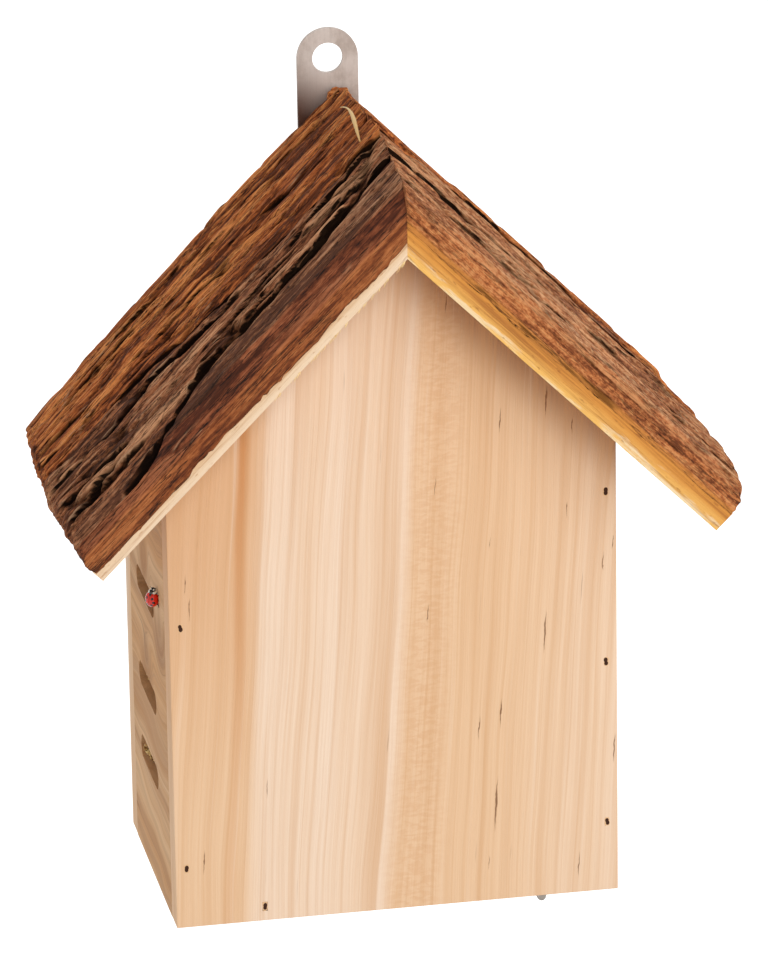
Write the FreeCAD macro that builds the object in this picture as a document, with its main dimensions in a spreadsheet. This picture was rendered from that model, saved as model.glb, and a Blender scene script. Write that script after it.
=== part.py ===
"""Ladybug house: a small gabled box under two bark-covered roof slabs, hung by a steel plate.

House coordinates, used by every function below: x from the house's middle plane to its right,
y from the front face to the back, z up from the base. The model's origin is the centre of the
hanger hole on the plane of the wall that the house hangs on.
"""
import FreeCAD, Part
import math
import os
import re
import Sketcher

Vector = FreeCAD.Vector
Constraint = Sketcher.Constraint

# Driving dimensions, in millimetres, and the roof pitch in degrees
SIZES = {
    # The box
    "house_width": 145.0,
    "house_depth": 90.0,
    "gable_height": 231.0,
    "gable_board": 10.0,
    "wall_board": 8.0,
    # Entry slots, measured to their middles
    "slot_length": 35.0,
    "slot_height": 8.0,
    "slot_setback": 48.5,
    "slot_low": 38.5,
    "slot_middle": 64.5,
    "slot_high": 98.0,
    # Floor flap
    "floor_board": 8.0,
    "floor_recess": 1.0,
    "floor_gap": 0.8,
    "pivot_inset": 28.8,
    "pivot_wire": 1.5,
    "pivot_cap": 1.7,
    "pivot_head": 3.2,
    "pivot_length": 28.0,
    "turn_play": 0.05,
    # Roof slabs
    "roof_pitch": 45.0,
    "roof_overhang": 32.0,
    "slab_length": 138.0,
    "slab_front": 15.5,
    "slab_back": 13.5,
    "left_wood": 4.5,
    "right_wood": 7.5,
    "bark_radius": 415.0,
    "wood_radius": 400.0,
    "eave_round": 6.0,
    "left_bevel": 5.2,
    "right_bevel": 2.4,
    "furrow_pitch": 15.0,
    "furrow_width": 6.0,
    "furrow_depth": 2.4,
    "furrow_wander": 4.0,
    "rift_width": 6.0,
    "rift_depth": 5.5,
    "rift_end_depth": 1.5,
    "left_rift_setback": 21.0,
    "left_rift_turn": 68.0,
    "left_rift_sway": -4.0,
    "left_rift_end": 110.0,
    "left_rift_drift": -19.5,
    "right_rift_setback": 29.0,
    "right_rift_turn": 36.0,
    "right_rift_sway": 1.0,
    "right_rift_end": 78.0,
    "right_rift_drift": 2.0,
    # Hanger, with its hole above the gable's tip and its screws below it
    "hanger_width": 20.0,
    "hanger_length": 80.0,
    "hanger_corner": 4.0,
    "hanger_offset": -2.0,
    "plate_thick": 1.5,
    "hang_rise": 29.0,
    "hang_hole": 10.0,
    "screw_drop_low": 33.0,
    "screw_drop_high": 19.0,
    "screw_wire": 3.0,
    "screw_length": 9.0,
    "screw_head": 6.4,
    "screw_dome": 1.6,
    # Brads, with a flat head set below the face; the highest are measured down from the eave
    "brad_width": 1.2,
    "brad_head": 2.8,
    "brad_cap": 0.8,
    "brad_set": 0.6,
    "brad_length": 30.0,
    "brad_inset": 3.6,
    "left_brad_low": 20.5,
    "left_brad_middle": 103.0,
    "left_brad_drop": 8.5,
    "right_brad_low": 24.0,
    "right_brad_middle": 79.5,
    "right_brad_drop": 21.0,
    # Roof nails, flat-headed like the brads and measured along the slab from the ridge
    "nail_wire": 1.8,
    "nail_head": 3.6,
    "nail_cap": 1.0,
    "nail_length": 36.0,
    "nail_top": 11.0,
    "nail_near": 34.0,
    "nail_far": 84.0,
    # Latch hook
    "hook_wire": 2.6,
    "hook_inset": 24.0,
    "hook_drop": 3.6,
    "hook_reach": 16.0,
    "hook_grip": 14.0,
    "hook_bend": 3.0,
    # Wood wool
    "wool_clear": 6.5,
    "wool_gap": 1.0,
    "wool_bottom": 28.0,
    "wool_top": 142.0,
    "wool_round": 12.0,
    # Ladybug
    "bug_length": 5.2,
    "bug_rise": 4.0,
    "bug_head": 1.3,
    "bug_setback": 21.9,
    "bug_height": 105.9,
}

HALF_WIDTH = "house_width / 2"
TAN_PITCH = "tan(roof_pitch * 1 deg)"
SIN_PITCH = "sin(roof_pitch * 1 deg)"
COS_PITCH = "cos(roof_pitch * 1 deg)"
EAVE = f"(gable_height - {HALF_WIDTH} * {TAN_PITCH})"
INNER_DEPTH = "(house_depth - 2 * gable_board)"
PIVOT_X = f"(-{HALF_WIDTH} + pivot_inset)"
PIVOT_Z = "(floor_recess + floor_board / 2)"
HOOK_X = f"({HALF_WIDTH} - hook_inset)"
HANG_HEIGHT = "(gable_height + hang_rise)"
SLAB_REACH = "(2 * slab_front)"
LEFT = -1
RIGHT = 1

doc = FreeCAD.newDocument("ladybug_house")
sheet = doc.addObject("Spreadsheet::Sheet", "Sizes")
for row, (alias, number) in enumerate(SIZES.items(), start=1):
    cell = f"A{row}"
    sheet.set(cell, str(number))
    sheet.setAlias(cell, alias)
doc.recompute()

nodes = []


def size(alias):
    """A driving dimension's number, read from the sheet."""
    return float(sheet.get(alias))


def formula(text):
    """Turn the sizes named in a formula into references to their cells."""

    def reference(word):
        name = word.group(0)
        return f"Sizes.{name}" if name in SIZES else name

    return re.sub(r"[a-z][a-z_]*", reference, text)


def number_of(text):
    """The number that a formula gives with the present sizes."""
    pitch = math.radians(size("roof_pitch"))
    ratios = {TAN_PITCH: math.tan(pitch), SIN_PITCH: math.sin(pitch), COS_PITCH: math.cos(pitch)}
    for words, ratio in ratios.items():
        text = text.replace(words, str(ratio))
    text = re.sub(r"[a-z][a-z_]+", lambda word: str(size(word.group(0))), text)
    return FreeCAD.Units.Quantity(text).Value


def point_of(point):
    """A flat point from a pair of formulas."""
    return Vector(number_of(point[0]), number_of(point[1]))


def bind(obj, **sizes):
    """Bind an object's properties to formulas."""
    for name, text in sizes.items():
        obj.setExpression(name, formula(text))


def seat(obj, x="0", y="0", z="0", turn=None, angle="0"):
    """Place an object at house coordinates, turned about an axis."""
    axis = turn or Vector(0, 0, 1)
    obj.Placement = FreeCAD.Placement(Vector(), FreeCAD.Rotation(axis, 1 if turn else 0))
    bind(
        obj,
        **{
            ".Placement.Base.x": f"{x} - hanger_offset",
            ".Placement.Base.y": f"{y} - house_depth - plate_thick",
            ".Placement.Base.z": f"{z} - {HANG_HEIGHT}",
        },
    )
    if turn:
        obj.setExpression(".Placement.Rotation.Angle", formula(f"{angle} * 1 deg"))
    return obj


def node(label, obj):
    """Name a finished sub-part."""
    obj.Label = label
    nodes.append(obj)
    return obj


# Sketches


def sketch_on(body, role, name):
    """A sketch on one of its body's origin planes."""
    plane = next(item for item in body.Origin.OriginFeatures if item.Role == role)
    sketch = body.newObject("Sketcher::SketchObject", name)
    sketch.AttachmentSupport = (plane, [""])
    sketch.MapMode = "FlatFace"
    return sketch


def dimension(sketch, text, *constraint):
    """Add a constraint whose value is a formula."""
    index = sketch.addConstraint(Constraint(*constraint, number_of(text)))
    sketch.setExpression(f"Constraints[{index}]", formula(text))


def pin_point(sketch, line, end, point):
    """Fix one end of a line at a pair of formulas."""
    dimension(sketch, point[0], "DistanceX", -1, 1, line, end)
    dimension(sketch, point[1], "DistanceY", -1, 1, line, end)


def polygon(sketch, points):
    """A closed outline of straight lines through points given as formulas."""
    count = len(points)
    ends = [point_of(point) for point in points]
    lines = [sketch.addGeometry(Part.LineSegment(ends[i], ends[(i + 1) % count])) for i in range(count)]
    for i, line in enumerate(lines):
        sketch.addConstraint(Constraint("Coincident", line, 2, lines[(i + 1) % count], 1))
    for line, point in zip(lines, points):
        pin_point(sketch, line, 1, point)


def slot(sketch, x, y, length, height):
    """A lying slot with round ends about the point x, y."""
    radius = number_of(height) / 2
    middle = point_of((x, y))
    up = Vector(0, radius)
    reach = Vector(number_of(length) / 2 - radius, 0)
    normal = Vector(0, 0, 1)
    quarter = math.pi / 2
    top = sketch.addGeometry(Part.LineSegment(middle - reach + up, middle + reach + up))
    right_circle = Part.Circle(middle + reach, normal, radius)
    right = sketch.addGeometry(Part.ArcOfCircle(right_circle, -quarter, quarter))
    bottom = sketch.addGeometry(Part.LineSegment(middle + reach - up, middle - reach - up))
    left_circle = Part.Circle(middle - reach, normal, radius)
    left = sketch.addGeometry(Part.ArcOfCircle(left_circle, quarter, 3 * quarter))
    sketch.addConstraint(Constraint("Tangent", top, 2, right, 2))
    sketch.addConstraint(Constraint("Tangent", right, 1, bottom, 1))
    sketch.addConstraint(Constraint("Tangent", bottom, 2, left, 2))
    sketch.addConstraint(Constraint("Tangent", left, 1, top, 1))
    for arc, sign in ((right, "+"), (left, "-")):
        dimension(sketch, f"{x} {sign} ({length} - {height}) / 2", "DistanceX", -1, 1, arc, 3)
        dimension(sketch, y, "DistanceY", -1, 1, arc, 3)
        dimension(sketch, f"{height} / 2", "Radius", arc)


def pad(body, sketch, length, towards_back=False):
    """Pad a sketch; a sketch in the front plane pads to the back when asked."""
    feature = body.newObject("PartDesign::Pad", "pad")
    feature.Profile = sketch
    feature.Reversed = towards_back
    bind(feature, Length=length)
    return feature


def pocket_both_ways(body, sketch, length):
    """Pocket a sketch to both sides of its plane, over a length that clears the body."""
    feature = body.newObject("PartDesign::Pocket", "pocket")
    feature.Profile = sketch
    feature.SideType = "Symmetric"
    bind(feature, Length=length)
    return feature


# Part primitives and booleans


def cylinder(name, radius, height):
    obj = doc.addObject("Part::Cylinder", name)
    bind(obj, Radius=radius, Height=height)
    return obj


def box(name, length, width, height):
    obj = doc.addObject("Part::Box", name)
    bind(obj, Length=length, Width=width, Height=height)
    return obj


def fuse(name, first, second):
    obj = doc.addObject("Part::Fuse", name)
    obj.Base = first
    obj.Tool = second
    return obj


def cut(base, *tools):
    for tool in tools:
        obj = doc.addObject("Part::Cut", f"{base.Name}_cut")
        obj.Base = base
        obj.Tool = tool
        base = obj
    return base


def group(name, members):
    obj = doc.addObject("Part::Compound", name)
    obj.Links = members
    return obj


BACKWARD = Vector(-1, 0, 0)
ALONG_DEPTH = Vector(0, 1, 0)
FORWARD = Vector(1, 0, 0)
RIGHT_ANGLE = "90"


# Fasteners and the holes that they fill


def brad(name, x, z, from_back):
    """A flat-headed brad driven through a gabled board, and the hole that it leaves."""
    inner = "(brad_set + brad_cap)"
    face = "house_depth" if from_back else "0"
    shank_y = "house_depth - brad_set - brad_length" if from_back else inner
    cap_y = f"house_depth - {inner}" if from_back else "brad_set"
    mouth_y = f"house_depth - {inner}" if from_back else face
    shank = box(f"{name}_shank", "brad_width", "brad_length - brad_cap", "brad_width")
    seat(shank, f"{x} - brad_width / 2", shank_y, f"{z} - brad_width / 2")
    cap = box(f"{name}_cap", "brad_width", "brad_cap", "brad_head")
    seat(cap, f"{x} - brad_width / 2", cap_y, f"{z} - brad_head / 2")
    mouth = box(f"{name}_mouth", "brad_width", inner, "brad_head")
    seat(mouth, f"{x} - brad_width / 2", mouth_y, f"{z} - brad_head / 2")
    return fuse(name, shank, cap), fuse(f"{name}_hole", shank, mouth)


def brads(label, from_back):
    """Three brads down each side of a gabled board; the back's are all at the right side's heights,
    which keep clear of the slots."""
    made = []
    holes = []
    for side, sign in (("left", "-"), ("right", "")):
        x = f"{sign}({HALF_WIDTH} - brad_inset)"
        row = "right" if from_back else side
        heights = {
            "low": f"{row}_brad_low",
            "middle": f"{row}_brad_middle",
            "high": f"({EAVE} - {row}_brad_drop)",
        }
        for level, z in heights.items():
            solid, hole = brad(f"{label}_{side}_{level}", x, z, from_back)
            made.append(solid)
            holes.append(hole)
    return node(label, group(label, made)), group(f"{label}_holes", holes)


def pivot_brad(name, from_back):
    """A round brad with a flat head, through a gabled board into the floor's edge, and the hole in
    the board."""
    inner = "(brad_set + brad_cap)"
    turn = FORWARD if from_back else BACKWARD
    shank_y = "house_depth - brad_set" if from_back else "brad_set"
    cap_y = f"house_depth - {inner}" if from_back else "brad_set"
    mouth_y = f"house_depth - {inner}" if from_back else "0"
    x = f"{PIVOT_X} - pivot_cap / 2"
    z = f"{PIVOT_Z} - pivot_head / 2"
    shank = cylinder(f"{name}_shank", "pivot_wire / 2", "pivot_length")
    seat(shank, PIVOT_X, shank_y, PIVOT_Z, turn, RIGHT_ANGLE)
    cap = seat(box(f"{name}_cap", "pivot_cap", "brad_cap", "pivot_head"), x, cap_y, z)
    mouth = seat(box(f"{name}_mouth", "pivot_cap", inner, "pivot_head"), x, mouth_y, z)
    return fuse(name, shank, cap), fuse(f"{name}_hole", shank, mouth)


def slab_place(side, along, above):
    """House coordinates of a point on a slab: along it from the ridge, above its underside."""
    x = f"({along}) * {COS_PITCH} + ({above}) * {SIN_PITCH}"
    z = f"gable_height - ({along}) * {SIN_PITCH} + ({above}) * {COS_PITCH}"
    return f"{side} * ({x})", z


def slab_seat(obj, side, along, y, above):
    """Place an object on a slab, with its z square to the slab."""
    x, z = slab_place(side, along, above)
    return seat(obj, x, y, z, ALONG_DEPTH, f"{side} * roof_pitch")


def slab_box(name, side, along, y, above, width, height):
    """A box square to a slab, as long as a nail's wire and centred on a place of the slab."""
    obj = box(name, "nail_wire", width, height)
    return slab_seat(obj, side, f"{along} - ({side}) * nail_wire / 2", f"{y} - {width} / 2", above)


def roof_nails(label, side):
    """Nails through a slab into the edges of the gabled boards, with the holes over their heads."""
    made = []
    holes = []
    for near, along in (("near", "nail_near"), ("far", "nail_far")):
        for end, y in (("front", "gable_board / 2"), ("back", "house_depth - gable_board / 2")):
            name = f"{label}_{near}_{end}"
            foot = "nail_top - nail_length"
            head = "nail_top - nail_cap"
            shank = slab_box(f"{name}_shank", side, along, y, foot, "nail_wire", "nail_length - nail_cap")
            cap = slab_box(f"{name}_cap", side, along, y, head, "nail_head", "nail_cap")
            over = f"nail_cap + {SLAB_REACH}"
            mouth = slab_box(f"{name}_mouth", side, along, y, head, "nail_head", over)
            made.append(fuse(name, shank, cap))
            holes.append(fuse(f"{name}_hole", shank, mouth))
    return node(label, group(label, made)), group(f"{label}_holes", holes)


def hanger_screws(label):
    """Two pan-headed screws through the hanger plate into the back panel."""
    made = []
    for level in ("low", "high"):
        z = f"(gable_height - screw_drop_{level})"
        shank = cylinder(f"screw_{level}_shank", "screw_wire / 2", "screw_length")
        seat(shank, "hanger_offset", "house_depth + plate_thick", z, FORWARD, RIGHT_ANGLE)
        head = doc.addObject("Part::Cone", f"screw_{level}_head")
        bind(head, Radius1="screw_head / 2", Radius2="screw_head / 2 - screw_dome / 2", Height="screw_dome")
        seat(head, "hanger_offset", "house_depth + plate_thick", z, BACKWARD, RIGHT_ANGLE)
        made.append(fuse(f"screw_{level}", shank, head))
    return node(label, group(label, made))


# Boards of the box


def gabled_board(name, y):
    """A board with a straight base and a gable of the roof's pitch."""
    body = doc.addObject("PartDesign::Body", name)
    outline = sketch_on(body, "XZ_Plane", f"{name}_outline")
    corners = [
        (f"-{HALF_WIDTH}", "0"),
        (HALF_WIDTH, "0"),
        (HALF_WIDTH, EAVE),
        ("0", "gable_height"),
        (f"-{HALF_WIDTH}", EAVE),
    ]
    polygon(outline, corners)
    pad(body, outline, "gable_board", towards_back=True)
    return seat(body, y=y)


def side_wall(name, side):
    """A side board with a bevelled top and three entry slots, on the left (-1) or right (1)."""
    body = doc.addObject("PartDesign::Body", name)
    outline = sketch_on(body, "XZ_Plane", f"{name}_outline")
    outer = f"{side} * {HALF_WIDTH}"
    inner = f"{side} * ({HALF_WIDTH} - wall_board)"
    corners = [(outer, "0"), (inner, "0"), (inner, f"{EAVE} + wall_board * {TAN_PITCH}"), (outer, EAVE)]
    polygon(outline, corners)
    pad(body, outline, INNER_DEPTH, towards_back=True)
    slots = sketch_on(body, "YZ_Plane", f"{name}_slots")
    for level in ("slot_low", "slot_middle", "slot_high"):
        slot(slots, "slot_setback - gable_board", level, "slot_length", "slot_height")
    pocket_both_ways(body, slots, "2 * house_width")
    return seat(body, y="gable_board")


def floor_blank(name):
    """The floor board, with its origin on the pivot axis at the front face."""
    body = doc.addObject("PartDesign::Body", name)
    outline = sketch_on(body, "XZ_Plane", f"{name}_outline")
    left = "-(pivot_inset - wall_board - floor_gap)"
    right = "house_width - wall_board - floor_gap - pivot_inset"
    low = "-floor_board / 2"
    high = "floor_board / 2"
    polygon(outline, [(left, low), (right, low), (right, high), (left, high)])
    pad(body, outline, f"{INNER_DEPTH} - 2 * floor_gap", towards_back=True)
    return seat(body, PIVOT_X, "gable_board + floor_gap", PIVOT_Z)


def running_hole(name, from_back):
    """The hole in the floor's edge that turns on a pivot brad."""
    turn = FORWARD if from_back else BACKWARD
    face = "house_depth - brad_set" if from_back else "brad_set"
    hole = cylinder(name, "pivot_wire / 2 + turn_play", "pivot_length + turn_play")
    return seat(hole, PIVOT_X, face, PIVOT_Z, turn, RIGHT_ANGLE)


# Roof slabs


def arc_between(sketch, first, second, radius):
    """A crowned arc between two points given as formulas; it rises above its chord."""
    start = point_of(first)
    end = point_of(second)
    half = (end - start).Length / 2
    rise = size(radius) - math.sqrt(size(radius) ** 2 - half**2)
    top = (start + end) / 2 + Vector(0, rise)
    arc = sketch.addGeometry(Part.Arc(start, top, end))
    dimension(sketch, radius, "Radius", arc)
    for end_number, point in ((1, first), (2, second)):
        pin_point(sketch, arc, end_number, point)
    return arc


def slab_profile(sketch, low_front, low_back, high_front, high_back, low_radius, high_radius):
    """A slab's section across its depth: straight edges front and back, a crowned top, and below
    either a flat underside or the crown of the wood that it covers."""
    front = "-roof_overhang"
    back = "house_depth"
    top = arc_between(sketch, (back, high_back), (front, high_front), high_radius)
    if low_radius:
        bottom = arc_between(sketch, (back, low_back), (front, low_front), low_radius)
    else:
        line = Part.LineSegment(point_of((back, low_back)), point_of((front, low_front)))
        bottom = sketch.addGeometry(line)
        pin_point(sketch, bottom, 1, (back, low_back))
        pin_point(sketch, bottom, 2, (front, low_front))
    edges = (((back, high_back), (back, low_back), 1), ((front, high_front), (front, low_front), 2))
    for high, low, end in edges:
        edge = sketch.addGeometry(Part.LineSegment(point_of(high), point_of(low)))
        sketch.addConstraint(Constraint("Coincident", edge, 1, top, end))
        sketch.addConstraint(Constraint("Coincident", edge, 2, bottom, end))


def slab_body(name, side, profile):
    """A slab from the ridge to the eave on one side, sawn plumb where it meets its partner."""
    body = doc.addObject("PartDesign::Body", name)
    section = sketch_on(body, "YZ_Plane", f"{name}_section")
    slab_profile(section, *profile)
    past_ridge = f"{SLAB_REACH} * {TAN_PITCH}"
    feature = pad(body, section, f"slab_length + {past_ridge}")
    if side == LEFT:
        feature.Reversed = True
    shift = f"{-side} * ({past_ridge})"
    section.AttachmentOffset = FreeCAD.Placement()
    section.setExpression(".AttachmentOffset.Base.z", formula(shift))
    mitre = sketch_on(body, "XZ_Plane", f"{name}_mitre")
    reach = f"2 * {SLAB_REACH}"
    corners = [
        ("0", "0"),
        (f"{-side} * {reach} * {TAN_PITCH}", reach),
        (f"{-side} * ({reach} * {TAN_PITCH} + {reach})", reach),
        (f"{-side} * ({reach} * {TAN_PITCH} + {reach})", f"-{reach}"),
    ]
    polygon(mitre, corners)
    pocket_both_ways(body, mitre, "4 * (house_depth + roof_overhang)")
    return seat(body, z="gable_height", turn=ALONG_DEPTH, angle=f"{side} * roof_pitch")


def round_eave(body):
    """Round the bark's upper edge at the eave."""
    doc.recompute()
    tip = body.Tip
    eave = size("slab_length")
    tolerance = 0.01
    names = []
    for number, edge in enumerate(tip.Shape.Edges, start=1):
        points = [edge.valueAt(edge.FirstParameter), edge.valueAt(edge.LastParameter)]
        at_eave = all(abs(abs(point.x) - eave) < tolerance for point in points)
        heights = (size("slab_front"), size("slab_back"))
        on_top = all(min(abs(point.z - height) for height in heights) < tolerance for point in points)
        if at_eave and on_top:
            names.append(f"Edge{number}")
    fillet = body.newObject("PartDesign::Fillet", "eave_round")
    fillet.Base = (tip, names)
    bind(fillet, Radius="eave_round")
    return fillet


def crown_height(y):
    """The bark's height above the slab's underside at a depth, from its arc."""
    front = Vector(-size("roof_overhang"), size("slab_front"))
    back = Vector(size("house_depth"), size("slab_back"))
    chord = back - front
    half = chord.Length / 2
    radius = size("bark_radius")
    across = Vector(-chord.y, chord.x).normalize()
    centre = (front + back) / 2 - across * math.sqrt(radius**2 - half**2)
    return centre.y + math.sqrt(radius**2 - (y - centre.x) ** 2)


def furrow(side, places, width):
    """A V-shaped furrow along a slab, through places given as (along, y, depth)."""
    lift = number_of(SLAB_REACH)
    wires = []
    for along, y, depth in places:
        surface = crown_height(y)
        widen = (lift + depth) / depth
        left = Vector(side * along, y - width / 2 * widen, surface + lift)
        right = Vector(side * along, y + width / 2 * widen, surface + lift)
        root = Vector(side * along, y, surface - depth)
        wires.append(Part.makePolygon([left, right, root, left]))
    return Part.makeLoft(wires, True, True)


def front_bevel(word, side, start, end):
    """The wedge that is missing along a slab's upper front edge."""
    front = -size("roof_overhang")
    top = size("slab_front")
    bevel = size(f"{word}_bevel")
    wires = []
    for along in (start, end):
        low = Vector(side * along, front - bevel, top - 2 * bevel)
        back = Vector(side * along, front + 3 * bevel, top + 2 * bevel)
        high = Vector(side * along, front - bevel, top + 2 * bevel)
        wires.append(Part.makePolygon([low, back, high, low]))
    return Part.makeLoft(wires, True, True)


# How the furrows differ: turns in radians from furrow to furrow and from place to place
FURROW_TURN = 2.3
PLACE_TURN = 1.7
DEPTH_TURN = 3.1
DEPTH_SPREAD = 0.3


def furrows(name, word, side, phase):
    """What the bark lacks: many shallow furrows that wander as they run down, one deep rift that
    bends and runs out, and the bevel along the front."""
    reach = number_of(SLAB_REACH)
    start = -reach * math.tan(math.radians(size("roof_pitch")))
    end = size("slab_length") + reach
    stations = [start, end / 3, 2 * end / 3, end]
    rift_y = size(f"{word}_rift_setback") - size("roof_overhang")
    pitch = size("furrow_pitch")
    wander = size("furrow_wander")
    count = int((size("house_depth") + size("roof_overhang")) / pitch) - 1
    tools = []
    for index in range(count):
        y = pitch * (index + 1) - size("roof_overhang")
        if abs(y - rift_y) < pitch / 2:
            continue
        depth = size("furrow_depth") * (1 + DEPTH_SPREAD * math.sin(phase + DEPTH_TURN * index))
        places = []
        for step, along in enumerate(stations):
            aside = wander * math.sin(phase + FURROW_TURN * index + PLACE_TURN * step)
            places.append((along, y + aside, depth))
        tools.append(furrow(side, places, size("furrow_width")))
    rift = [
        (start, rift_y, size("rift_depth")),
        (size(f"{word}_rift_turn"), rift_y + size(f"{word}_rift_sway"), size("rift_depth")),
        (size(f"{word}_rift_end"), rift_y + size(f"{word}_rift_drift"), size("rift_end_depth")),
    ]
    tools.append(furrow(side, rift, size("rift_width")))
    tools.append(front_bevel(word, side, start, end))
    obj = doc.addObject("Part::Feature", name)
    obj.Shape = tools[0].multiFuse(tools[1:])
    return seat(obj, z="gable_height", turn=ALONG_DEPTH, angle=f"{side} * roof_pitch")


def roof_side(word, side, phase):
    """One slab: its board, its bark and the nails that hold it down. Returns the nail holes."""
    wood = f"{word}_wood"
    wood_profile = ("0", "0", wood, wood, None, "wood_radius")
    bark_profile = (wood, wood, "slab_front", "slab_back", "wood_radius", "bark_radius")
    board = slab_body(f"{word}_board_blank", side, wood_profile)
    bark = slab_body(f"{word}_bark_blank", side, bark_profile)
    round_eave(bark)
    _, holes = roof_nails(f"{word}_roof_nails", side)
    node(f"{word}_roof_board", cut(board, holes))
    node(f"{word}_roof_bark", cut(bark, furrows(f"{word}_furrows", word, side, phase), holes))
    return holes


# Hanger, hook, filling and ornament


def hanger_plate(name):
    """A steel strip with a round top about its hole, and rounded lower corners."""
    body = doc.addObject("PartDesign::Body", name)
    outline = sketch_on(body, "XZ_Plane", f"{name}_outline")
    half = "hanger_width / 2"
    foot = "-(hanger_length - hanger_width / 2)"
    corners = [(f"-{half}", "0"), (f"-{half}", foot), (half, foot), (half, "0")]
    ends = [point_of(corner) for corner in corners]
    normal = Vector(0, 0, 1)
    sides = [outline.addGeometry(Part.LineSegment(ends[i], ends[i + 1])) for i in range(3)]
    top_circle = Part.Circle(Vector(), normal, number_of(half))
    top = outline.addGeometry(Part.ArcOfCircle(top_circle, 0, math.pi))
    hole = outline.addGeometry(Part.Circle(Vector(), normal, number_of("hang_hole / 2")))
    left, base, right = sides
    for first, second in ((top, left), (left, base), (base, right), (right, top)):
        outline.addConstraint(Constraint("Coincident", first, 2, second, 1))
    for line, corner in zip(sides, corners):
        pin_point(outline, line, 1, corner)
    pin_point(outline, right, 2, corners[-1])
    outline.addConstraint(Constraint("PointOnObject", top, 3, -1))
    outline.addConstraint(Constraint("Coincident", hole, 3, -1, 1))
    dimension(outline, "hang_hole / 2", "Radius", hole)
    pad(body, outline, "plate_thick", towards_back=True)
    doc.recompute()
    tip = body.Tip
    foot_level = -(size("hanger_length") - size("hanger_width") / 2)
    tolerance = 0.01
    names = []
    for number, edge in enumerate(tip.Shape.Edges, start=1):
        box_of_edge = edge.BoundBox
        across_plate = box_of_edge.YLength > size("plate_thick") / 2
        at_foot = abs(box_of_edge.ZMin - foot_level) < tolerance
        if across_plate and at_foot and box_of_edge.ZLength < tolerance:
            names.append(f"Edge{number}")
    fillet = body.newObject("PartDesign::Fillet", "lower_corners")
    fillet.Base = (tip, names)
    bind(fillet, Radius="hanger_corner")
    return seat(body, "hanger_offset", "house_depth", HANG_HEIGHT)


def latch_hook(name):
    """An L of round wire: a shank up into the front panel's edge and an arm back under the floor."""
    body = doc.addObject("PartDesign::Body", name)
    path = sketch_on(body, "YZ_Plane", f"{name}_path")
    shank_ends = (("0", "hook_grip"), ("0", "hook_bend - hook_drop"))
    arm_ends = (("hook_bend", "-hook_drop"), ("hook_reach", "-hook_drop"))
    normal = Vector(0, 0, 1)
    corner = Part.Circle(point_of(("hook_bend", "hook_bend - hook_drop")), normal, size("hook_bend"))
    shank = path.addGeometry(Part.LineSegment(*(point_of(end) for end in shank_ends)))
    bend = path.addGeometry(Part.ArcOfCircle(corner, math.pi, 1.5 * math.pi))
    arm = path.addGeometry(Part.LineSegment(*(point_of(end) for end in arm_ends)))
    path.addConstraint(Constraint("Coincident", shank, 2, bend, 1))
    path.addConstraint(Constraint("Coincident", bend, 2, arm, 1))
    dimension(path, "hook_bend", "Radius", bend)
    for line, ends in ((shank, shank_ends), (arm, arm_ends)):
        pin_point(path, line, 1, ends[0])
        pin_point(path, line, 2, ends[1])
    section = sketch_on(body, "XY_Plane", f"{name}_section")
    circle = section.addGeometry(Part.Circle(Vector(), Vector(0, 0, 1), 1))
    section.addConstraint(Constraint("Coincident", circle, 3, -1, 1))
    dimension(section, "hook_wire / 2", "Radius", circle)
    section.setExpression(".AttachmentOffset.Base.z", formula("hook_grip"))
    pipe = body.newObject("PartDesign::AdditivePipe", "wire")
    pipe.Profile = section
    pipe.Spine = (path, ["Edge1", "Edge2", "Edge3"])
    return seat(body, HOOK_X, "gable_board / 2")


def hook_hole(name):
    """The hole in the front panel's bottom edge that the hook's shank turns in."""
    hole = cylinder(name, "hook_wire / 2 + turn_play", "hook_grip + turn_play")
    return seat(hole, HOOK_X, "gable_board / 2")


def wood_wool(name):
    """The springy wad that fills the house above the floor's swing, with rounded upright edges."""
    span = "house_width - 2 * (wall_board + wool_clear)"
    wad = box(f"{name}_block", span, f"{INNER_DEPTH} - 2 * wool_gap", "wool_top - wool_bottom")
    seat(wad, f"-({span}) / 2", "gable_board + wool_gap", "wool_bottom")
    doc.recompute()
    rounded = doc.addObject("Part::Fillet", name)
    rounded.Base = wad
    radius = size("wool_round")
    upright = size("wool_top") - size("wool_bottom")
    rounded.Edges = [
        (number, radius, radius)
        for number, edge in enumerate(wad.Shape.Edges, start=1)
        if edge.BoundBox.ZLength > upright / 2
    ]
    return rounded


def ladybug(shell_label, head_label):
    """A beetle's round wing cases and its head, standing on the left wall's outside, head up."""
    wall_face = f"-{HALF_WIDTH}"
    middle = f"{wall_face} + bug_length / 2 - bug_rise"
    dome = doc.addObject("Part::Sphere", "bug_dome")
    bind(dome, Radius="bug_length / 2")
    seat(dome, middle, "bug_setback", "bug_height", ALONG_DEPTH, RIGHT_ANGLE)
    ball = doc.addObject("Part::Sphere", "bug_ball")
    bind(ball, Radius="bug_head")
    seat(ball, middle, "bug_setback", "bug_height + bug_length / 2")
    wall_side = box("bug_wall_side", "2 * bug_length", "4 * bug_length", "4 * bug_length")
    seat(wall_side, wall_face, "bug_setback - 2 * bug_length", "bug_height - 2 * bug_length")
    node(shell_label, cut(dome, wall_side))
    node(head_label, cut(ball, dome, wall_side))


# The house

_, front_holes = brads("front_brads", from_back=False)
_, back_holes = brads("back_brads", from_back=True)
front_pivot, front_pivot_hole = pivot_brad("front_pivot", from_back=False)
back_pivot, back_pivot_hole = pivot_brad("back_pivot", from_back=True)
node("floor_pivot_brads", group("floor_pivot_brads", [front_pivot, back_pivot]))
left_nail_holes = roof_side("left", LEFT, phase=0.4)
right_nail_holes = roof_side("right", RIGHT, phase=2.0)
screws = hanger_screws("hanger_screws")
shared_holes = (left_nail_holes, right_nail_holes)

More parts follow.
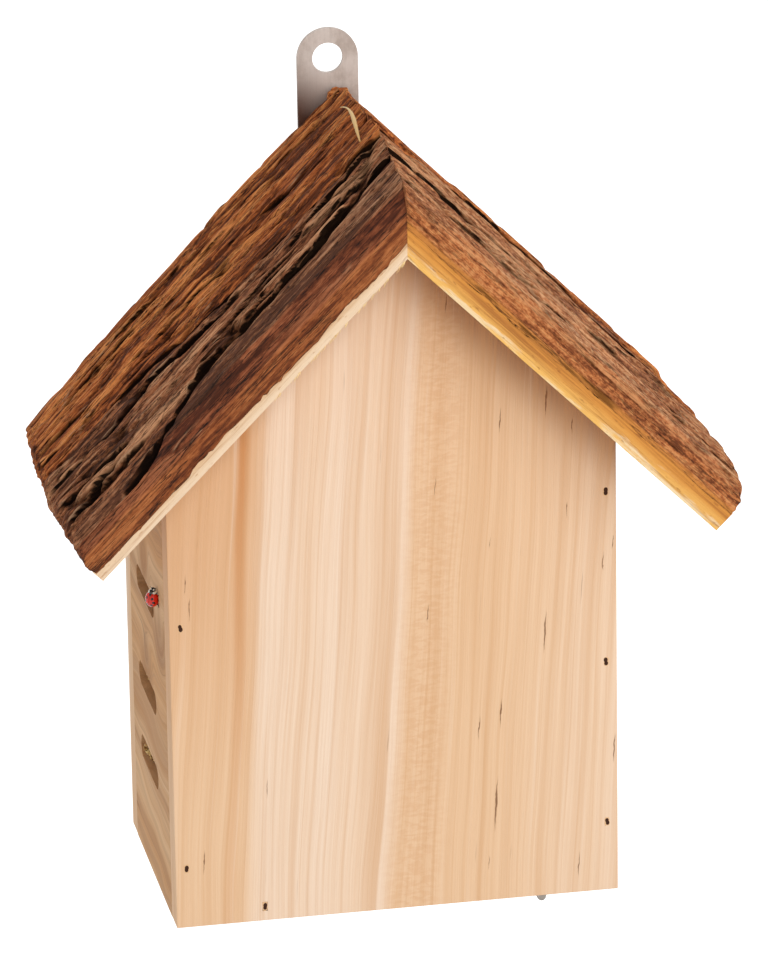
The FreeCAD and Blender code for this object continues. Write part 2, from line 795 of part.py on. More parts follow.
front = gabled_board("front_blank", "0")
node("front_panel", cut(front, front_holes, front_pivot_hole, hook_hole("hook_hole"), *shared_holes))
back = gabled_board("back_blank", "house_depth - gable_board")
node("back_panel", cut(back, back_holes, back_pivot_hole, screws, *shared_holes))
node("left_wall", cut(side_wall("left_wall_blank", LEFT), front_holes, back_holes))
node("right_wall", cut(side_wall("right_wall_blank", RIGHT), front_holes, back_holes))
pivot_holes = (running_hole("front_running_hole", False), running_hole("back_running_hole", True))
node("floor_flap", cut(floor_blank("floor_blank"), *pivot_holes))
node("hanger_plate", cut(hanger_plate("plate_blank"), screws))
node("latch_hook", latch_hook("hook"))
node("wood_wool", wood_wool("wool"))
ladybug("ladybug_shell", "ladybug_head")

doc.recompute()

# Every object has to be sound before anything is written

for obj in doc.Objects:
    faults = [state for state in obj.State if state in ("Invalid", "Error")]
    if faults:
        raise RuntimeError(f"{obj.Label}: {faults}")
for obj in nodes:
    if obj.Shape.isNull() or not obj.Shape.isValid():
        raise RuntimeError(f"{obj.Label}: its shape is null or not valid")

os.makedirs("parts", exist_ok=True)
for obj in nodes:
    obj.Shape.exportStep(f"parts/{obj.Label}.step")
    print(f"{obj.Label}: {len(obj.Shape.Solids)} solids, {obj.Shape.Volume:.0f} mm3")
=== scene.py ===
"""The dressed ladybug house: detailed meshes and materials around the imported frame.

House coordinates, in millimetres, are used throughout: x from the house's middle plane to the right,
y from the front face to the back, z up from the base. A roof slab has coordinates of its own: along it
from the ridge, the same y, and above its underside.
"""
import math
from dataclasses import dataclass

import bmesh
import bpy
import numpy as np
from mathutils import Matrix, Vector


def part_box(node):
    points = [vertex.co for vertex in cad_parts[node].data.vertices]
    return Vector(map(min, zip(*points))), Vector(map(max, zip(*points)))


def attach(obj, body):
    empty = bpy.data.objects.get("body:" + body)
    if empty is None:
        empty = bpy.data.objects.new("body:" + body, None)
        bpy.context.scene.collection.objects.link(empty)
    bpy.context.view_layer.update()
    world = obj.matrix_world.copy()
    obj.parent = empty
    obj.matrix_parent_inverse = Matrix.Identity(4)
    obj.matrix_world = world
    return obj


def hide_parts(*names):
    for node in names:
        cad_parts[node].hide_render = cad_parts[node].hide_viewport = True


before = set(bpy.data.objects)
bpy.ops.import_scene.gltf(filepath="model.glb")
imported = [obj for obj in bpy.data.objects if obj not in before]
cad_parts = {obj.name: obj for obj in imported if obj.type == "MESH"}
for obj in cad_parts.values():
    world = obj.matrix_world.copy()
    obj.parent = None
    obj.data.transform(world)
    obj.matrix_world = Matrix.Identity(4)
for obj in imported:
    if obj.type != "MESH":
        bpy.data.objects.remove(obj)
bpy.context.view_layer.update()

MM = 0.001
LEFT = -1
RIGHT = 1
BODY = "house"

# The house's sizes, read from the frame
panel_low, panel_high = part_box("front_panel")
wall_low, wall_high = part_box("left_wall")
roof_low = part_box("left_roof_board")[0]
flap_low, flap_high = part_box("floor_flap")
ORIGIN = np.array([(panel_low[0] + panel_high[0]) / 2, panel_low[1], panel_low[2]])
HALF_WIDTH = (panel_high[0] - panel_low[0]) / 2 / MM
APEX = (panel_high[2] - panel_low[2]) / MM
BOARD = (panel_high[1] - panel_low[1]) / MM
WALL = (wall_high[0] - wall_low[0]) / MM
DEPTH = (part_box("back_panel")[1][1] - panel_low[1]) / MM
WALL_TOP = (wall_high[2] - panel_low[2]) / MM
PITCH = math.atan2(APEX - WALL_TOP, HALF_WIDTH - WALL)
ROOF_FRONT = (roof_low[1] - panel_low[1]) / MM
SLAB_LENGTH = (panel_high[2] - roof_low[2]) / MM / math.sin(PITCH)
FLAP_REACH = (flap_high[0] - flap_low[0]) / MM


def place(x, y, z):
    """House coordinates in millimetres to points of the frame in metres."""
    return np.stack(np.broadcast_arrays(x, y, z), axis=-1) * MM + ORIGIN


def slab_house(side, along, y, above):
    """A slab's own coordinates to house coordinates."""
    x = side * (along * math.cos(PITCH) + above * math.sin(PITCH))
    z = APEX - along * math.sin(PITCH) + above * math.cos(PITCH)
    return x, y, z


def slab_place(side, along, y, above):
    """A slab's own coordinates to points of the frame."""
    return place(*slab_house(side, along, y, above))


# Noise and curves

NOISE_CELLS = 64

# Where a noise that varies along a line only is read across
LINE = 0.5


def smooth(value, low, high):
    """An even step from 0 at low to 1 at high."""
    share = np.clip((value - low) / (high - low), 0, 1)
    return share * share * (3 - 2 * share)


def noise(u, v, seed):
    """Smooth noise from 0 to 1 over a plane, one cell per unit."""
    table = np.random.default_rng(seed).random((NOISE_CELLS, NOISE_CELLS))
    u, v = np.broadcast_arrays(np.asarray(u, float), np.asarray(v, float))
    cell_u = np.floor(u).astype(int)
    cell_v = np.floor(v).astype(int)
    part_u = smooth(u - cell_u, 0, 1)
    part_v = smooth(v - cell_v, 0, 1)

    def corner(step_u, step_v):
        return table[(cell_u + step_u) % NOISE_CELLS, (cell_v + step_v) % NOISE_CELLS]

    near = corner(0, 0) * (1 - part_u) + corner(1, 0) * part_u
    far = corner(0, 1) * (1 - part_u) + corner(1, 1) * part_u
    return near * (1 - part_v) + far * part_v


def swing(u, v, seed):
    """The same noise from -1 to 1."""
    return 2 * noise(u, v, seed) - 1


def waves(rows, u, v, seed):
    """A sum of noises, each given by its size and by its length along u and v."""
    total = 0
    for number, (size, length, width) in enumerate(rows):
        total = total + size * swing(u / length, v / width, seed + number)
    return total


# Materials

# The parts of a piece's grain
ALONG = 0
ACROSS = 1
THROUGH = 2


def srgb(red, green, blue):
    """A colour as seen, from 0 to 255, to the renderer's own numbers."""
    linear = []
    for part in (red, green, blue):
        part = part / 255
        linear.append(part / 12.92 if part <= 0.04045 else ((part + 0.055) / 1.055) ** 2.4)
    return (*linear, 1)


class Shader:
    """A material's node tree, built one node at a time."""

    def __init__(self, name):
        self.material = bpy.data.materials.new(name)
        self.material.use_nodes = True
        self.tree = self.material.node_tree
        self.tree.nodes.clear()

    def put(self, socket, value):
        if isinstance(value, bpy.types.NodeSocket):
            self.tree.links.new(value, socket)
        else:
            socket.default_value = value

    def add(self, kind, inputs, **settings):
        node = self.tree.nodes.new(kind)
        for name, value in settings.items():
            setattr(node, name, value)
        for name, value in inputs.items():
            self.put(node.inputs[name], value)
        return node

    def attribute(self, name, output="Fac"):
        return self.add("ShaderNodeAttribute", {}, attribute_name=name).outputs[output]

    def grain(self):
        """Metres along the grain, across it and through the piece."""
        return self.attribute("grain", "Vector")

    def vector(self, operation, first, second, output="Vector"):
        return self.add("ShaderNodeVectorMath", {0: first, 1: second}, operation=operation).outputs[output]

    def noise(self, vector, scale, detail=3.0, roughness=0.55, distortion=0.0):
        """Noise from 0 to 1, with so many cells per metre along the grain, across it and through it."""
        inputs = {
            "Vector": self.vector("MULTIPLY", vector, scale),
            "Scale": 1.0,
            "Detail": detail,
            "Roughness": roughness,
            "Distortion": distortion,
        }
        return self.add("ShaderNodeTexNoise", inputs).outputs[0]

    def part(self, vector, axis):
        return self.add("ShaderNodeSeparateXYZ", {"Vector": vector}).outputs[axis]

    def nearest(self, vector, places):
        """How far the nearest of some places lies, in metres; the places are in millimetres."""
        share = None
        for spot in places:
            far = self.vector("DISTANCE", vector, tuple(value * MM for value in spot), "Value")
            share = far if share is None else self.math("MINIMUM", share, far)
        return share

    def math(self, operation, first, second=0.0, third=0.0):
        return self.add("ShaderNodeMath", {0: first, 1: second, 2: third}, operation=operation).outputs[0]

    def step(self, value, low, high, start=0.0, end=1.0):
        """A number that goes from start to end while a value goes from low to high."""
        inputs = {"Value": value, "From Min": low, "From Max": high, "To Min": start, "To Max": end}
        return self.add("ShaderNodeMapRange", inputs, interpolation_type="SMOOTHSTEP").outputs[0]

    def paint(self, under, over, value, low, high, start=0.0, end=1.0):
        """A colour laid over another one, with a share that steps as a value goes from low to high."""
        return self.mix(self.step(value, low, high, start, end), under, over)

    def ramp(self, value, *stops):
        node = self.add("ShaderNodeValToRGB", {"Fac": value})
        elements = node.color_ramp.elements
        while len(elements) < len(stops):
            elements.new(0.5)
        for element, (position, colour) in zip(elements, stops):
            element.position = position
            element.color = colour
        return node.outputs["Color"]

    def mix(self, share, first, second):
        return self.add("ShaderNodeMix", {0: share, 6: first, 7: second}, data_type="RGBA").outputs[2]

    def bump(self, height, distance, normal=None):
        inputs = {"Height": height, "Distance": distance}
        if normal:
            inputs["Normal"] = normal
        return self.add("ShaderNodeBump", inputs).outputs[0]

    def finish(self, **inputs):
        """Close the tree with the surface shader; underscores in names stand for spaces."""
        named = {name.replace("_", " "): value for name, value in inputs.items()}
        surface = self.add("ShaderNodeBsdfPrincipled", named)
        self.add("ShaderNodeOutputMaterial", {"Surface": surface.outputs[0]})
        return self.material


def wood(name, pale, deep, line, start, swirl, knots=(), zones=False):
    """Planed softwood: broad bands, fine growth lines, short pitch streaks and a fibrous surface. The swirl
    is how often the grain wanders along and across, and how far."""
    shader = Shader(name)
    along, across, far = swirl
    grain = shader.vector("ADD", shader.grain(), start)
    wander = shader.noise(grain, (along, across, across), detail=2)
    aside = shader.math("MULTIPLY", wander, far)
    if zones:
        aside = shader.math("MULTIPLY_ADD", shader.part(grain, ALONG), -HEART_LEAN, aside)
    eye = shader.nearest(shader.grain(), knots)
    if knots:
        aside = shader.math("ADD", aside, shader.step(eye, 0.0, KNOT_SPREAD, start=KNOT_PUSH, end=0.0))
    bent = shader.vector("ADD", grain, shader.add("ShaderNodeCombineXYZ", {"Y": aside}).outputs[0])
    bands = shader.noise(bent, (1.2, 70, 40), detail=3)
    broad = shader.noise(bent, (1.6, 120, 60), detail=2)
    streaks = shader.noise(bent, (2.5, 300, 90), detail=4, roughness=0.65)
    lines = shader.noise(bent, (3, 780, 200), detail=4, roughness=0.65)
    fibres = shader.noise(bent, (22, 2600, 900), detail=2)
    pitch = shader.noise(bent, (24, 520, 160), detail=2)

    colour = shader.paint(pale, deep, bands, 0.38, 0.64)
    if zones:
        colour = front_zones(shader, colour, pale, deep)
    colour = shader.paint(colour, line, broad, 0.5, 0.72, end=0.4)
    colour = shader.paint(colour, line, streaks, 0.45, 0.68, end=0.36)
    colour = shader.paint(colour, pale, streaks, 0.44, 0.3, end=0.45)
    colour = shader.paint(colour, line, lines, 0.5, 0.7, end=0.32)
    colour = shader.paint(colour, line, fibres, 0.3, 0.75, start=0.2, end=0.0)
    colour = shader.paint(colour, PITCH_BROWN, pitch, 0.7, 0.78, end=0.5)
    if knots:
        colour = shader.paint(colour, line, eye, 0.002, KNOT_SPREAD, start=0.6, end=0.0)
    if zones:
        colour = front_marks(shader, colour)
    rough = shader.step(fibres, 0.2, 0.8, start=0.62, end=0.82)
    relief = shader.bump(lines, 0.00018, normal=shader.bump(fibres, 0.00012))
    return shader.finish(Base_Color=colour, Roughness=rough, Normal=relief, Specular_IOR_Level=0.3)


# How far round a knot the grain bends, and how far it is pushed aside
KNOT_SPREAD = 0.016
KNOT_PUSH = 0.014

# Where the front panel's heartwood and resin streak run: x at the base, and how far x moves per z
HEART_X = -3.4
HEART_LEAN = 0.063
RESIN_X = -55.3
RESIN_LEAN = 0.05
PITCH_BROWN = srgb(112, 70, 38)
RESIN = srgb(196, 124, 58)

# Painted shade: the brownish, darker edge of the front panel under the roof, by height and distance from the
# middle
UNDER_ROOF_SHADE = srgb(142, 88, 50)
UNDER_ROOF_SHADE_LOW = 0.210
UNDER_ROOF_SHADE_HIGH = 0.236

# How far the edges of the front panel's zones and of its painted shade under the roof waver, in metres
WAVER = 0.006
UNDER_ROOF_SHADE_STRAY = 0.008

# Distances from the heart's edge and from the resin streak between which a colour comes or goes, in metres
HEART_EDGE = (-0.003, 0.003)
HEART_FADE = (0.03, 0.07)
PEACH_FADE = (0.002, 0.01)
RIPPLE_ASIDE = 0.008
RIPPLE_WIDE = (0.001, 0.013)
RESIN_WIDE = (0.0004, 0.0034)

# Heights between which the resin streak and the painted shade under the left eave grow stronger, in metres
RESIN_RISE = (0.03, 0.19)
LEFT_EAVE_SHADE_RISE = (0.03, 0.13)

# The front panel's pitch streaks: x and z of the middle, and the length
PITCH_STREAKS = (
    (35.0, 164.4, 10), (49.9, 169.6, 13), (58.2, 160.8, 7), (56.4, 132.3, 7), (13.8, 143.5, 8),
    (31.3, 123.4, 5), (71.2, 120.0, 6), (18.1, 204.9, 8), (11.0, 101.2, 8), (48.9, 91.4, 17),
    (34.3, 65.0, 12), (27.1, 60.5, 10), (32.4, 33.4, 22), (-42.2, 45.8, 8), (-63.2, 22.1, 10),
    (59.5, 9.9, 11), (29.8, 13.2, 6), (71.4, 49.4, 12), (-65.9, 109.0, 10), (-67.0, 117.6, 8),
    (68.0, 114.0, 8),
)
STREAK_RAGGED = 0.0011
STREAK_SLIM = 22.0


def shifted(limits, by):
    return [limit + by for limit in limits]


def front_zones(shader, colour, pale, deep):
    """The front board's pale middle, its peach sides and the orange streak between them, with painted shade
    under the roof and under the left eave.
    """
    grain = shader.grain()
    height, across = shader.part(grain, ALONG), shader.part(grain, ACROSS)
    waver = shader.noise(grain, (9, 60, 60), detail=3)
    across = shader.math("MULTIPLY_ADD", waver, WAVER, across)
    from_heart = shader.math("MULTIPLY_ADD", height, -HEART_LEAN, across)
    from_resin = shader.math("MULTIPLY_ADD", height, -RESIN_LEAN, across)
    heart = HEART_X * MM + WAVER / 2
    resin = RESIN_X * MM + WAVER / 2
    right_side = shader.step(from_heart, *shifted(HEART_EDGE, heart))
    fading_right = shader.step(from_heart, *shifted(HEART_FADE, heart), start=1.0, end=0.35)
    left_side = shader.step(from_resin, *shifted(PEACH_FADE, resin), start=1.0, end=0.0)
    peach = shader.math("MAXIMUM", shader.math("MULTIPLY", right_side, fading_right), left_side)
    colour = shader.mix(shader.math("MULTIPLY", peach, 0.85), shader.mix(0.7, colour, pale), deep)
    ripple = shader.noise(grain, (700, 260, 260), detail=3, distortion=0.5)
    beside = shader.math("ABSOLUTE", shader.math("SUBTRACT", from_heart, heart + RIPPLE_ASIDE))
    near = shader.step(beside, *RIPPLE_WIDE, start=0.2, end=0.0)
    colour = shader.mix(shader.math("MULTIPLY", near, shader.step(ripple, 0.4, 0.62)), colour, RESIN)
    distance = shader.math("ABSOLUTE", shader.math("SUBTRACT", from_resin, resin))
    # Painted shade under the left eave: the left side takes more of the resin colour towards the top
    left_eave_shade = shader.math("MULTIPLY", left_side, shader.step(height, *LEFT_EAVE_SHADE_RISE, end=0.28))
    colour = shader.mix(left_eave_shade, colour, RESIN)
    streak = shader.step(distance, *RESIN_WIDE, start=0.75, end=0.0)
    fading = shader.step(height, *RESIN_RISE, start=0.3, end=1.0)
    colour = shader.mix(shader.math("MULTIPLY", streak, fading), colour, RESIN)
    # Painted shade: the edge under the roof is browned and darkened, near the top and along the gable edges
    below = shader.math("ADD", height, shader.math("ABSOLUTE", shader.part(grain, ACROSS)))
    under_roof_shade = shader.math("MULTIPLY_ADD", waver, UNDER_ROOF_SHADE_STRAY, below)
    return shader.paint(colour, UNDER_ROOF_SHADE, under_roof_shade, UNDER_ROOF_SHADE_LOW, UNDER_ROOF_SHADE_HIGH, end=0.85)


def front_marks(shader, colour):
    """The dark pitch streaks, each at its own place."""
    grain = shader.grain()
    ragged = shader.noise(grain, (260, 900, 900), detail=2)
    lean = shader.math("MULTIPLY_ADD", shader.part(grain, ALONG), -HEART_LEAN, shader.part(grain, ACROSS))
    slim = shader.math("MULTIPLY_ADD", shader.math("SUBTRACT", ragged, 0.5), STREAK_RAGGED, lean)
    inputs = {"X": shader.part(grain, ALONG), "Y": shader.math("MULTIPLY", slim, STREAK_SLIM)}
    place_on_board = shader.add("ShaderNodeCombineXYZ", inputs).outputs[0]
    share = None
    for x, z, length in PITCH_STREAKS:
        middle = (z * MM, (x - HEART_LEAN * z) * MM * STREAK_SLIM, 0)
        distance = shader.vector("DISTANCE", place_on_board, middle, "Value")
        part = shader.math("MULTIPLY", distance, 2 / (length * MM))
        share = part if share is None else shader.math("MINIMUM", share, part)
    return shader.paint(colour, PITCH_BROWN, share, 0.35, 1.0, start=0.85, end=0.0)


# Heights between which the slabs' wood darkens, in metres, and how far they stray
BAND_FADE = (0.002, 0.0085)
BAND_STRAY = 0.004

# The cream patches of the slabs' wood, in metres: how high they reach, how that strays, and how far back
CREAM_EDGE = (-0.0052, -0.0072)
CREAM_STRAY = -0.014
CREAM_BACK = (-0.031, -0.029)


def slab_wood(name, low, high, line, patch):
    """The sawn wood under the bark, darker towards the bark, with a paler ragged lower edge."""
    shader = Shader(name)
    grain = shader.grain()
    lines = shader.noise(grain, (14, 300, 620), detail=5, roughness=0.65)
    fibres = shader.noise(grain, (60, 1500, 2200), detail=3)
    blots = shader.noise(grain, (45, 150, 330), detail=4, roughness=0.6)
    ragged = shader.math("MULTIPLY_ADD", lines, BAND_STRAY, shader.part(grain, THROUGH))
    colour = shader.paint(low, high, ragged, *BAND_FADE)
    edge = shader.math("MULTIPLY_ADD", blots, CREAM_STRAY, shader.part(grain, THROUGH))
    near_front = shader.step(shader.part(grain, ACROSS), *CREAM_BACK, start=1.0, end=0.2)
    cream = shader.math("MULTIPLY", shader.step(edge, *CREAM_EDGE, end=0.8), near_front)
    colour = shader.paint(colour, high, blots, 0.46, 0.66, end=0.45)
    colour = shader.mix(cream, colour, patch)
    specks = shader.noise(grain, (240, 600, 900), detail=3, roughness=0.6)
    colour = shader.paint(colour, line, specks, 0.6, 0.74, end=0.6)
    colour = shader.paint(colour, line, lines, 0.5, 0.72, end=0.7)
    colour = shader.paint(colour, line, fibres, 0.55, 0.8, end=0.4)
    relief = shader.bump(lines, 0.0005, normal=shader.bump(fibres, 0.0003))
    rough = shader.step(fibres, 0.2, 0.8, start=0.65, end=0.85)
    return shader.finish(Base_Color=colour, Roughness=rough, Normal=relief, Specular_IOR_Level=0.3)


def bark(name, back, plates, front, bevel, sawn, cracked, streaky, crumbly, crumb, sap=None):
    """Fibrous bark: colours by zone across the slab, dark cracks, black painted shade in gaps, cracks and
    steep walls, pale painted highlights on their lips, and a sawn front edge.
    """
    shader = Shader(name)
    grain = shader.grain()
    streaks = shader.noise(grain, (20, 310, 310), detail=7, roughness=0.66, distortion=0.4)
    fibres = shader.noise(grain, (60, 1300, 1300), detail=3, roughness=0.6)
    checks = shader.noise(grain, (30, 560, 560), detail=4, roughness=0.6)
    splits = shader.noise(grain, (14, 260, 260), detail=5, roughness=0.62)
    crumbs = shader.noise(grain, (crumb, 900, 900), detail=4, roughness=0.7)
    zone = shader.attribute("zone")
    dark = shader.attribute("dark")
    broad = shader.math("MULTIPLY_ADD", streaks, streaky, 0.5 - 0.5 * streaky)
    tinted = shader.math("MULTIPLY_ADD", shader.attribute("tint"), TINT_SHARE * streaky, broad)
    shade = shader.math("MULTIPLY_ADD", shader.math("SUBTRACT", crumbs, 0.5), crumbly, tinted)

    def tone(colours):
        return shader.ramp(shade, *zip(TONE_STOPS, colours))

    def lines(field, half, strength):
        distance = shader.math("ABSOLUTE", shader.math("SUBTRACT", field, 0.5))
        return shader.step(distance, 0.0, half, start=strength, end=0.0)

    colour = shader.mix(shader.step(zone, 0.2, 0.8), tone(back), tone(plates))
    colour = shader.mix(shader.step(zone, 1.2, 1.8), colour, tone(front))
    colour = shader.mix(shader.step(zone, 2.2, 2.8), colour, tone(bevel))
    colour = shader.mix(shader.attribute("sawn"), colour, tone(sawn))
    if sap:
        above = shader.math("MULTIPLY_ADD", splits, SAP_STRAY, shader.part(grain, THROUGH))
        colour = shader.paint(colour, sap, above, SAP_LOW, SAP_HIGH, start=0.85, end=0.0)
    colour = shader.mix(lines(checks, 0.03, 0.75 * cracked), colour, FURROW_BROWN)
    colour = shader.mix(lines(splits, 0.016, 0.95 * cracked), colour, FURROW_BLACK)
    colour = shader.paint(colour, FURROW_BROWN, fibres, 0.52, 0.7, end=0.45)
    crumbled = shader.step(crumbs, 0.3, 0.6, start=0.25, end=0.85)
    # Painted highlight: the lips behind steep walls, and the pale flecks, are laid over in a pale colour
    colour = shader.mix(shader.math("MULTIPLY", shader.attribute("fleck_and_highlight"), crumbled), colour, FLECK_AND_HIGHLIGHT_PALE)
    # Painted shade: the dark attribute paints gaps, cracks and steep walls facing the front black
    colour = shader.mix(dark, colour, FURROW_BLACK)
    normal = shader.bump(streaks, 0.0012, normal=shader.bump(crumbs, 0.0005))
    gloss = shader.step(dark, 0.1, 0.8, start=0.2, end=0.0)
    return shader.finish(Base_Color=colour, Roughness=0.85, Normal=normal, Specular_IOR_Level=gloss)


# Where the bark's shadow, middle and light tones lie, and how much a strip's own tint counts
TONE_STOPS = (0.36, 0.5, 0.66)
TINT_SHARE = 0.16

# The yellow foot of the right bark: its heights above the slab's underside, and how far they stray
SAP_LOW = 0.0092
SAP_HIGH = 0.0108
SAP_STRAY = 0.003
# The black is also the colour of the painted shade in gaps, cracks and steep walls
FURROW_BLACK = srgb(14, 9, 7)
FURROW_BROWN = srgb(58, 29, 15)
# The pale of the painted highlights on lips and of the pale flecks
FLECK_AND_HIGHLIGHT_PALE = srgb(204, 158, 120)


def steel(name, bright, dull, rough, metal=0.85, bark_reflection=None):
    """Mill-finished steel with drawn lines and faint stains; a painted reflection of the bark browns the
    hanger's foot.
    """
    shader = Shader(name)
    grain = shader.grain()
    drawn = shader.noise(grain, (30, 2600, 2600), detail=3)
    stains = shader.noise(grain, (90, 130, 130), detail=5, roughness=0.65)
    colour = shader.paint(bright, dull, stains, 0.35, 0.7)
    colour = shader.paint(colour, dull, drawn, 0.45, 0.8, end=0.3)
    # Painted reflection: the bark's brown laid on the hanger's foot, reaching higher on the left
    if bark_reflection:
        slant = shader.math("MULTIPLY_ADD", shader.part(grain, ACROSS), REFLECTION_SLANT, shader.part(grain, ALONG))
        uneven = shader.math("MULTIPLY_ADD", stains, REFLECTION_STRAY, slant)
        colour = shader.paint(colour, bark_reflection, uneven, REFLECTION_LOW, REFLECTION_HIGH, start=0.95, end=0.0)
    roughness = shader.step(stains, 0.2, 0.8, start=rough - 0.08, end=rough + 0.14)
    normal = shader.bump(drawn, 0.00004)
    return shader.finish(Base_Color=colour, Metallic=metal, Roughness=roughness, Normal=normal)


# The painted reflection of the bark's brown in the hanger's foot: heights above the base, lower towards the
# right, and straying
REFLECTION_SLANT = 0.9
REFLECTION_STRAY = 0.01
REFLECTION_LOW = 0.234
REFLECTION_HIGH = 0.256


def torn_wood(name, around, steel_and_shade):
    """Torn wood round the end of a brad, dark where the mesh is marked: the brad's steel with painted shade
    of its sunk hole.
    """
    shader = Shader(name)
    torn = shader.noise(shader.grain(), (900, 900, 900), detail=3)
    share = shader.math("MULTIPLY_ADD", torn, 0.5, shader.attribute("mark"))
    colour = shader.paint(around, steel_and_shade, share, 0.55, 0.8)
    relief = shader.bump(torn, 0.0002)
    return shader.finish(Base_Color=colour, Roughness=0.8, Normal=relief, Specular_IOR_Level=0.2)


def wool(name, pale, deep):
    """Thin shaved wood, each ribbon a little different."""
    shader = Shader(name)
    grain = shader.grain()
    shade = shader.noise(grain, (70, 900, 900), detail=2)
    ribbon = shader.attribute("ribbon")
    colour = shader.mix(ribbon, pale, deep)
    colour = shader.paint(colour, deep, shade, 0.35, 0.75, end=0.5)
    normal = shader.bump(shade, 0.0001)
    return shader.finish(Base_Color=colour, Roughness=0.6, Normal=normal, Specular_IOR_Level=0.35)


def lacquer(name, ground, mark):
    """A beetle's glossy shell, with marks where the mesh says so."""
    shader = Shader(name)
    dust = shader.noise(shader.grain(), (700, 700, 700), detail=3)
    colour = shader.mix(shader.step(dust, 0.4, 0.8, end=0.2), ground, shader.mix(0.5, ground, mark))
    colour = shader.paint(colour, mark, shader.attribute("mark"), 0.35, 0.65)
    rough = shader.step(dust, 0.3, 0.7, start=0.12, end=0.25)
    normal = shader.bump(dust, 0.00003)
    shine = {"Roughness": rough, "Specular_IOR_Level": 0.3, "Coat_Weight": 0.2}
    return shader.finish(Base_Color=colour, Normal=normal, **shine)


# Pieces


def set_attribute(mesh, name, values):
    values = np.asarray(values, np.float32)
    kind, key = ("FLOAT_VECTOR", "vector") if values.ndim == 2 else ("FLOAT", "value")
    mesh.attributes.new(name, kind, "POINT").data.foreach_set(key, values.ravel())


def add_piece(name, mesh, material, slot, replaces=(), body=BODY):
    """Put a mesh in the scene as a piece that rides on a body."""
    mesh.materials.clear()
    mesh.materials.append(material)
    mesh.polygons.foreach_set("use_smooth", np.full(len(mesh.polygons), True))
    piece = bpy.data.objects.new(name, mesh)
    bpy.context.scene.collection.objects.link(piece)
    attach(piece, body)
    if replaces:
        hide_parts(*replaces)


def new_mesh(name, points, faces, grain, **attributes):
    """A mesh from points of the frame; grain is in millimetres."""
    mesh = bpy.data.meshes.new(name)
    mesh.from_pydata(np.asarray(points).reshape(-1, 3).tolist(), [], faces)
    work = bmesh.new()
    work.from_mesh(mesh)
    bmesh.ops.recalc_face_normals(work, faces=work.faces)
    work.to_mesh(mesh)
    work.free()
    set_attribute(mesh, "grain", np.asarray(grain).reshape(-1, 3) * MM)
    for key, values in attributes.items():
        set_attribute(mesh, key, np.asarray(values).ravel())
    return mesh


def house_points(mesh):
    """A frame mesh's vertices in house coordinates."""
    flat = np.empty(len(mesh.vertices) * 3)
    mesh.vertices.foreach_get("co", flat)
    return (flat.reshape(-1, 3) - ORIGIN) / MM


# Angles at an edge: sharp enough to ease, flat enough to dissolve, and seen as a facet
SHARP = math.radians(25)
FLAT = math.radians(0.5)
FACET = math.radians(9)


def dressed_copy(node, name, material, slot, grain_of, ease, body=BODY):
    """A copy of a CAD node with its grain written on it and its sharp edges eased: the ease is the bevel's
    width and the length of the shortest edge that gets one."""
    bevel, shortest = ease
    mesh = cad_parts[node].data.copy()
    work = bmesh.new()
    work.from_mesh(mesh)
    bmesh.ops.remove_doubles(work, verts=work.verts, dist=MM / 1000)
    bmesh.ops.dissolve_limit(work, angle_limit=FLAT, verts=work.verts, edges=work.edges)
    edges = [
        edge
        for edge in work.edges
        if edge.is_manifold and edge.calc_length() > shortest * MM and edge.calc_face_angle() > SHARP
    ]
    bmesh.ops.bevel(
        work, geom=edges, offset=bevel * MM, segments=2, profile=0.6, affect="EDGES", clamp_overlap=True
    )
    bmesh.ops.triangulate(work, faces=[face for face in work.faces if len(face.verts) > 4])
    work.to_mesh(mesh)
    work.free()
    set_attribute(mesh, "grain", grain_of(house_points(mesh)) * MM)
    mesh.set_sharp_from_angle(angle=FACET)
    add_piece(name, mesh, material, slot, [node], body)


def upright_grain(points):
    return points[:, [2, 0, 1]]


def deep_grain(points):
    return points[:, [1, 2, 0]]


def level_grain(points):
    return points[:, [0, 1, 2]]


def slab_grain(side):
    """The grain of what lies along a slab: its own coordinates."""

    def grain(points):
        out = side * points[:, 0]
        up = points[:, 2] - APEX
        along = out * math.cos(PITCH) - up * math.sin(PITCH)
        above = out * math.sin(PITCH) + up * math.cos(PITCH)
        return np.stack([along, points[:, 1], above], axis=-1)

    return grain


# Bark: a relief over each slab, with ragged sides down to the wood

# The slab's height at the front and at the back, its crown and its wood's, and how far its eave is rounded
SLAB_FRONT = 15.5
SLAB_BACK = 13.5
SLAB_CROWN = 4.5
WOOD_CROWN = 4.65
EAVE_ROUND = 6.5

# How far the bevel's edge strays, over what length, and the same for its slope
BEVEL_STRAY = 0.8
BEVEL_CHANGE = 15
SLOPE_STRAY = 0.5
SLOPE_CHANGE = 21

# How far the rim stands in, how the back corner tapers and thins, how the ridge joins, the thinnest bark
FRONT_INSET = 0.5
BACK_INSET = 1.6
BACK_TAPER = 4.0
BACK_THIN = 3.0
CORNER_POWER = 4
RIDGE_POWER = 8
BARK_LEAST = 1.2

# How many waves the rims have, how round the eave is at least, and how much of a gap notches it
FRONT_WAVES = 14
BACK_WAVES = 11
EAVE_WAVES = 13
EAVE_LEAST = 0.7
EAVE_MORE = 0.4
NOTCH_SHARE = 0.7
NOTCH_DEEP = 4

# The mesh: its steps, how often it is evened, the rows of its sides, and how its foot overlaps the wood
STEP_ALONG = 0.7
STEP_ACROSS = 0.3
SMOOTH_ROWS = 3
SIDE_ROWS = 16
BURIED = 0.3
PROUD = 0.12
RIFT_CLEAR = 2.5

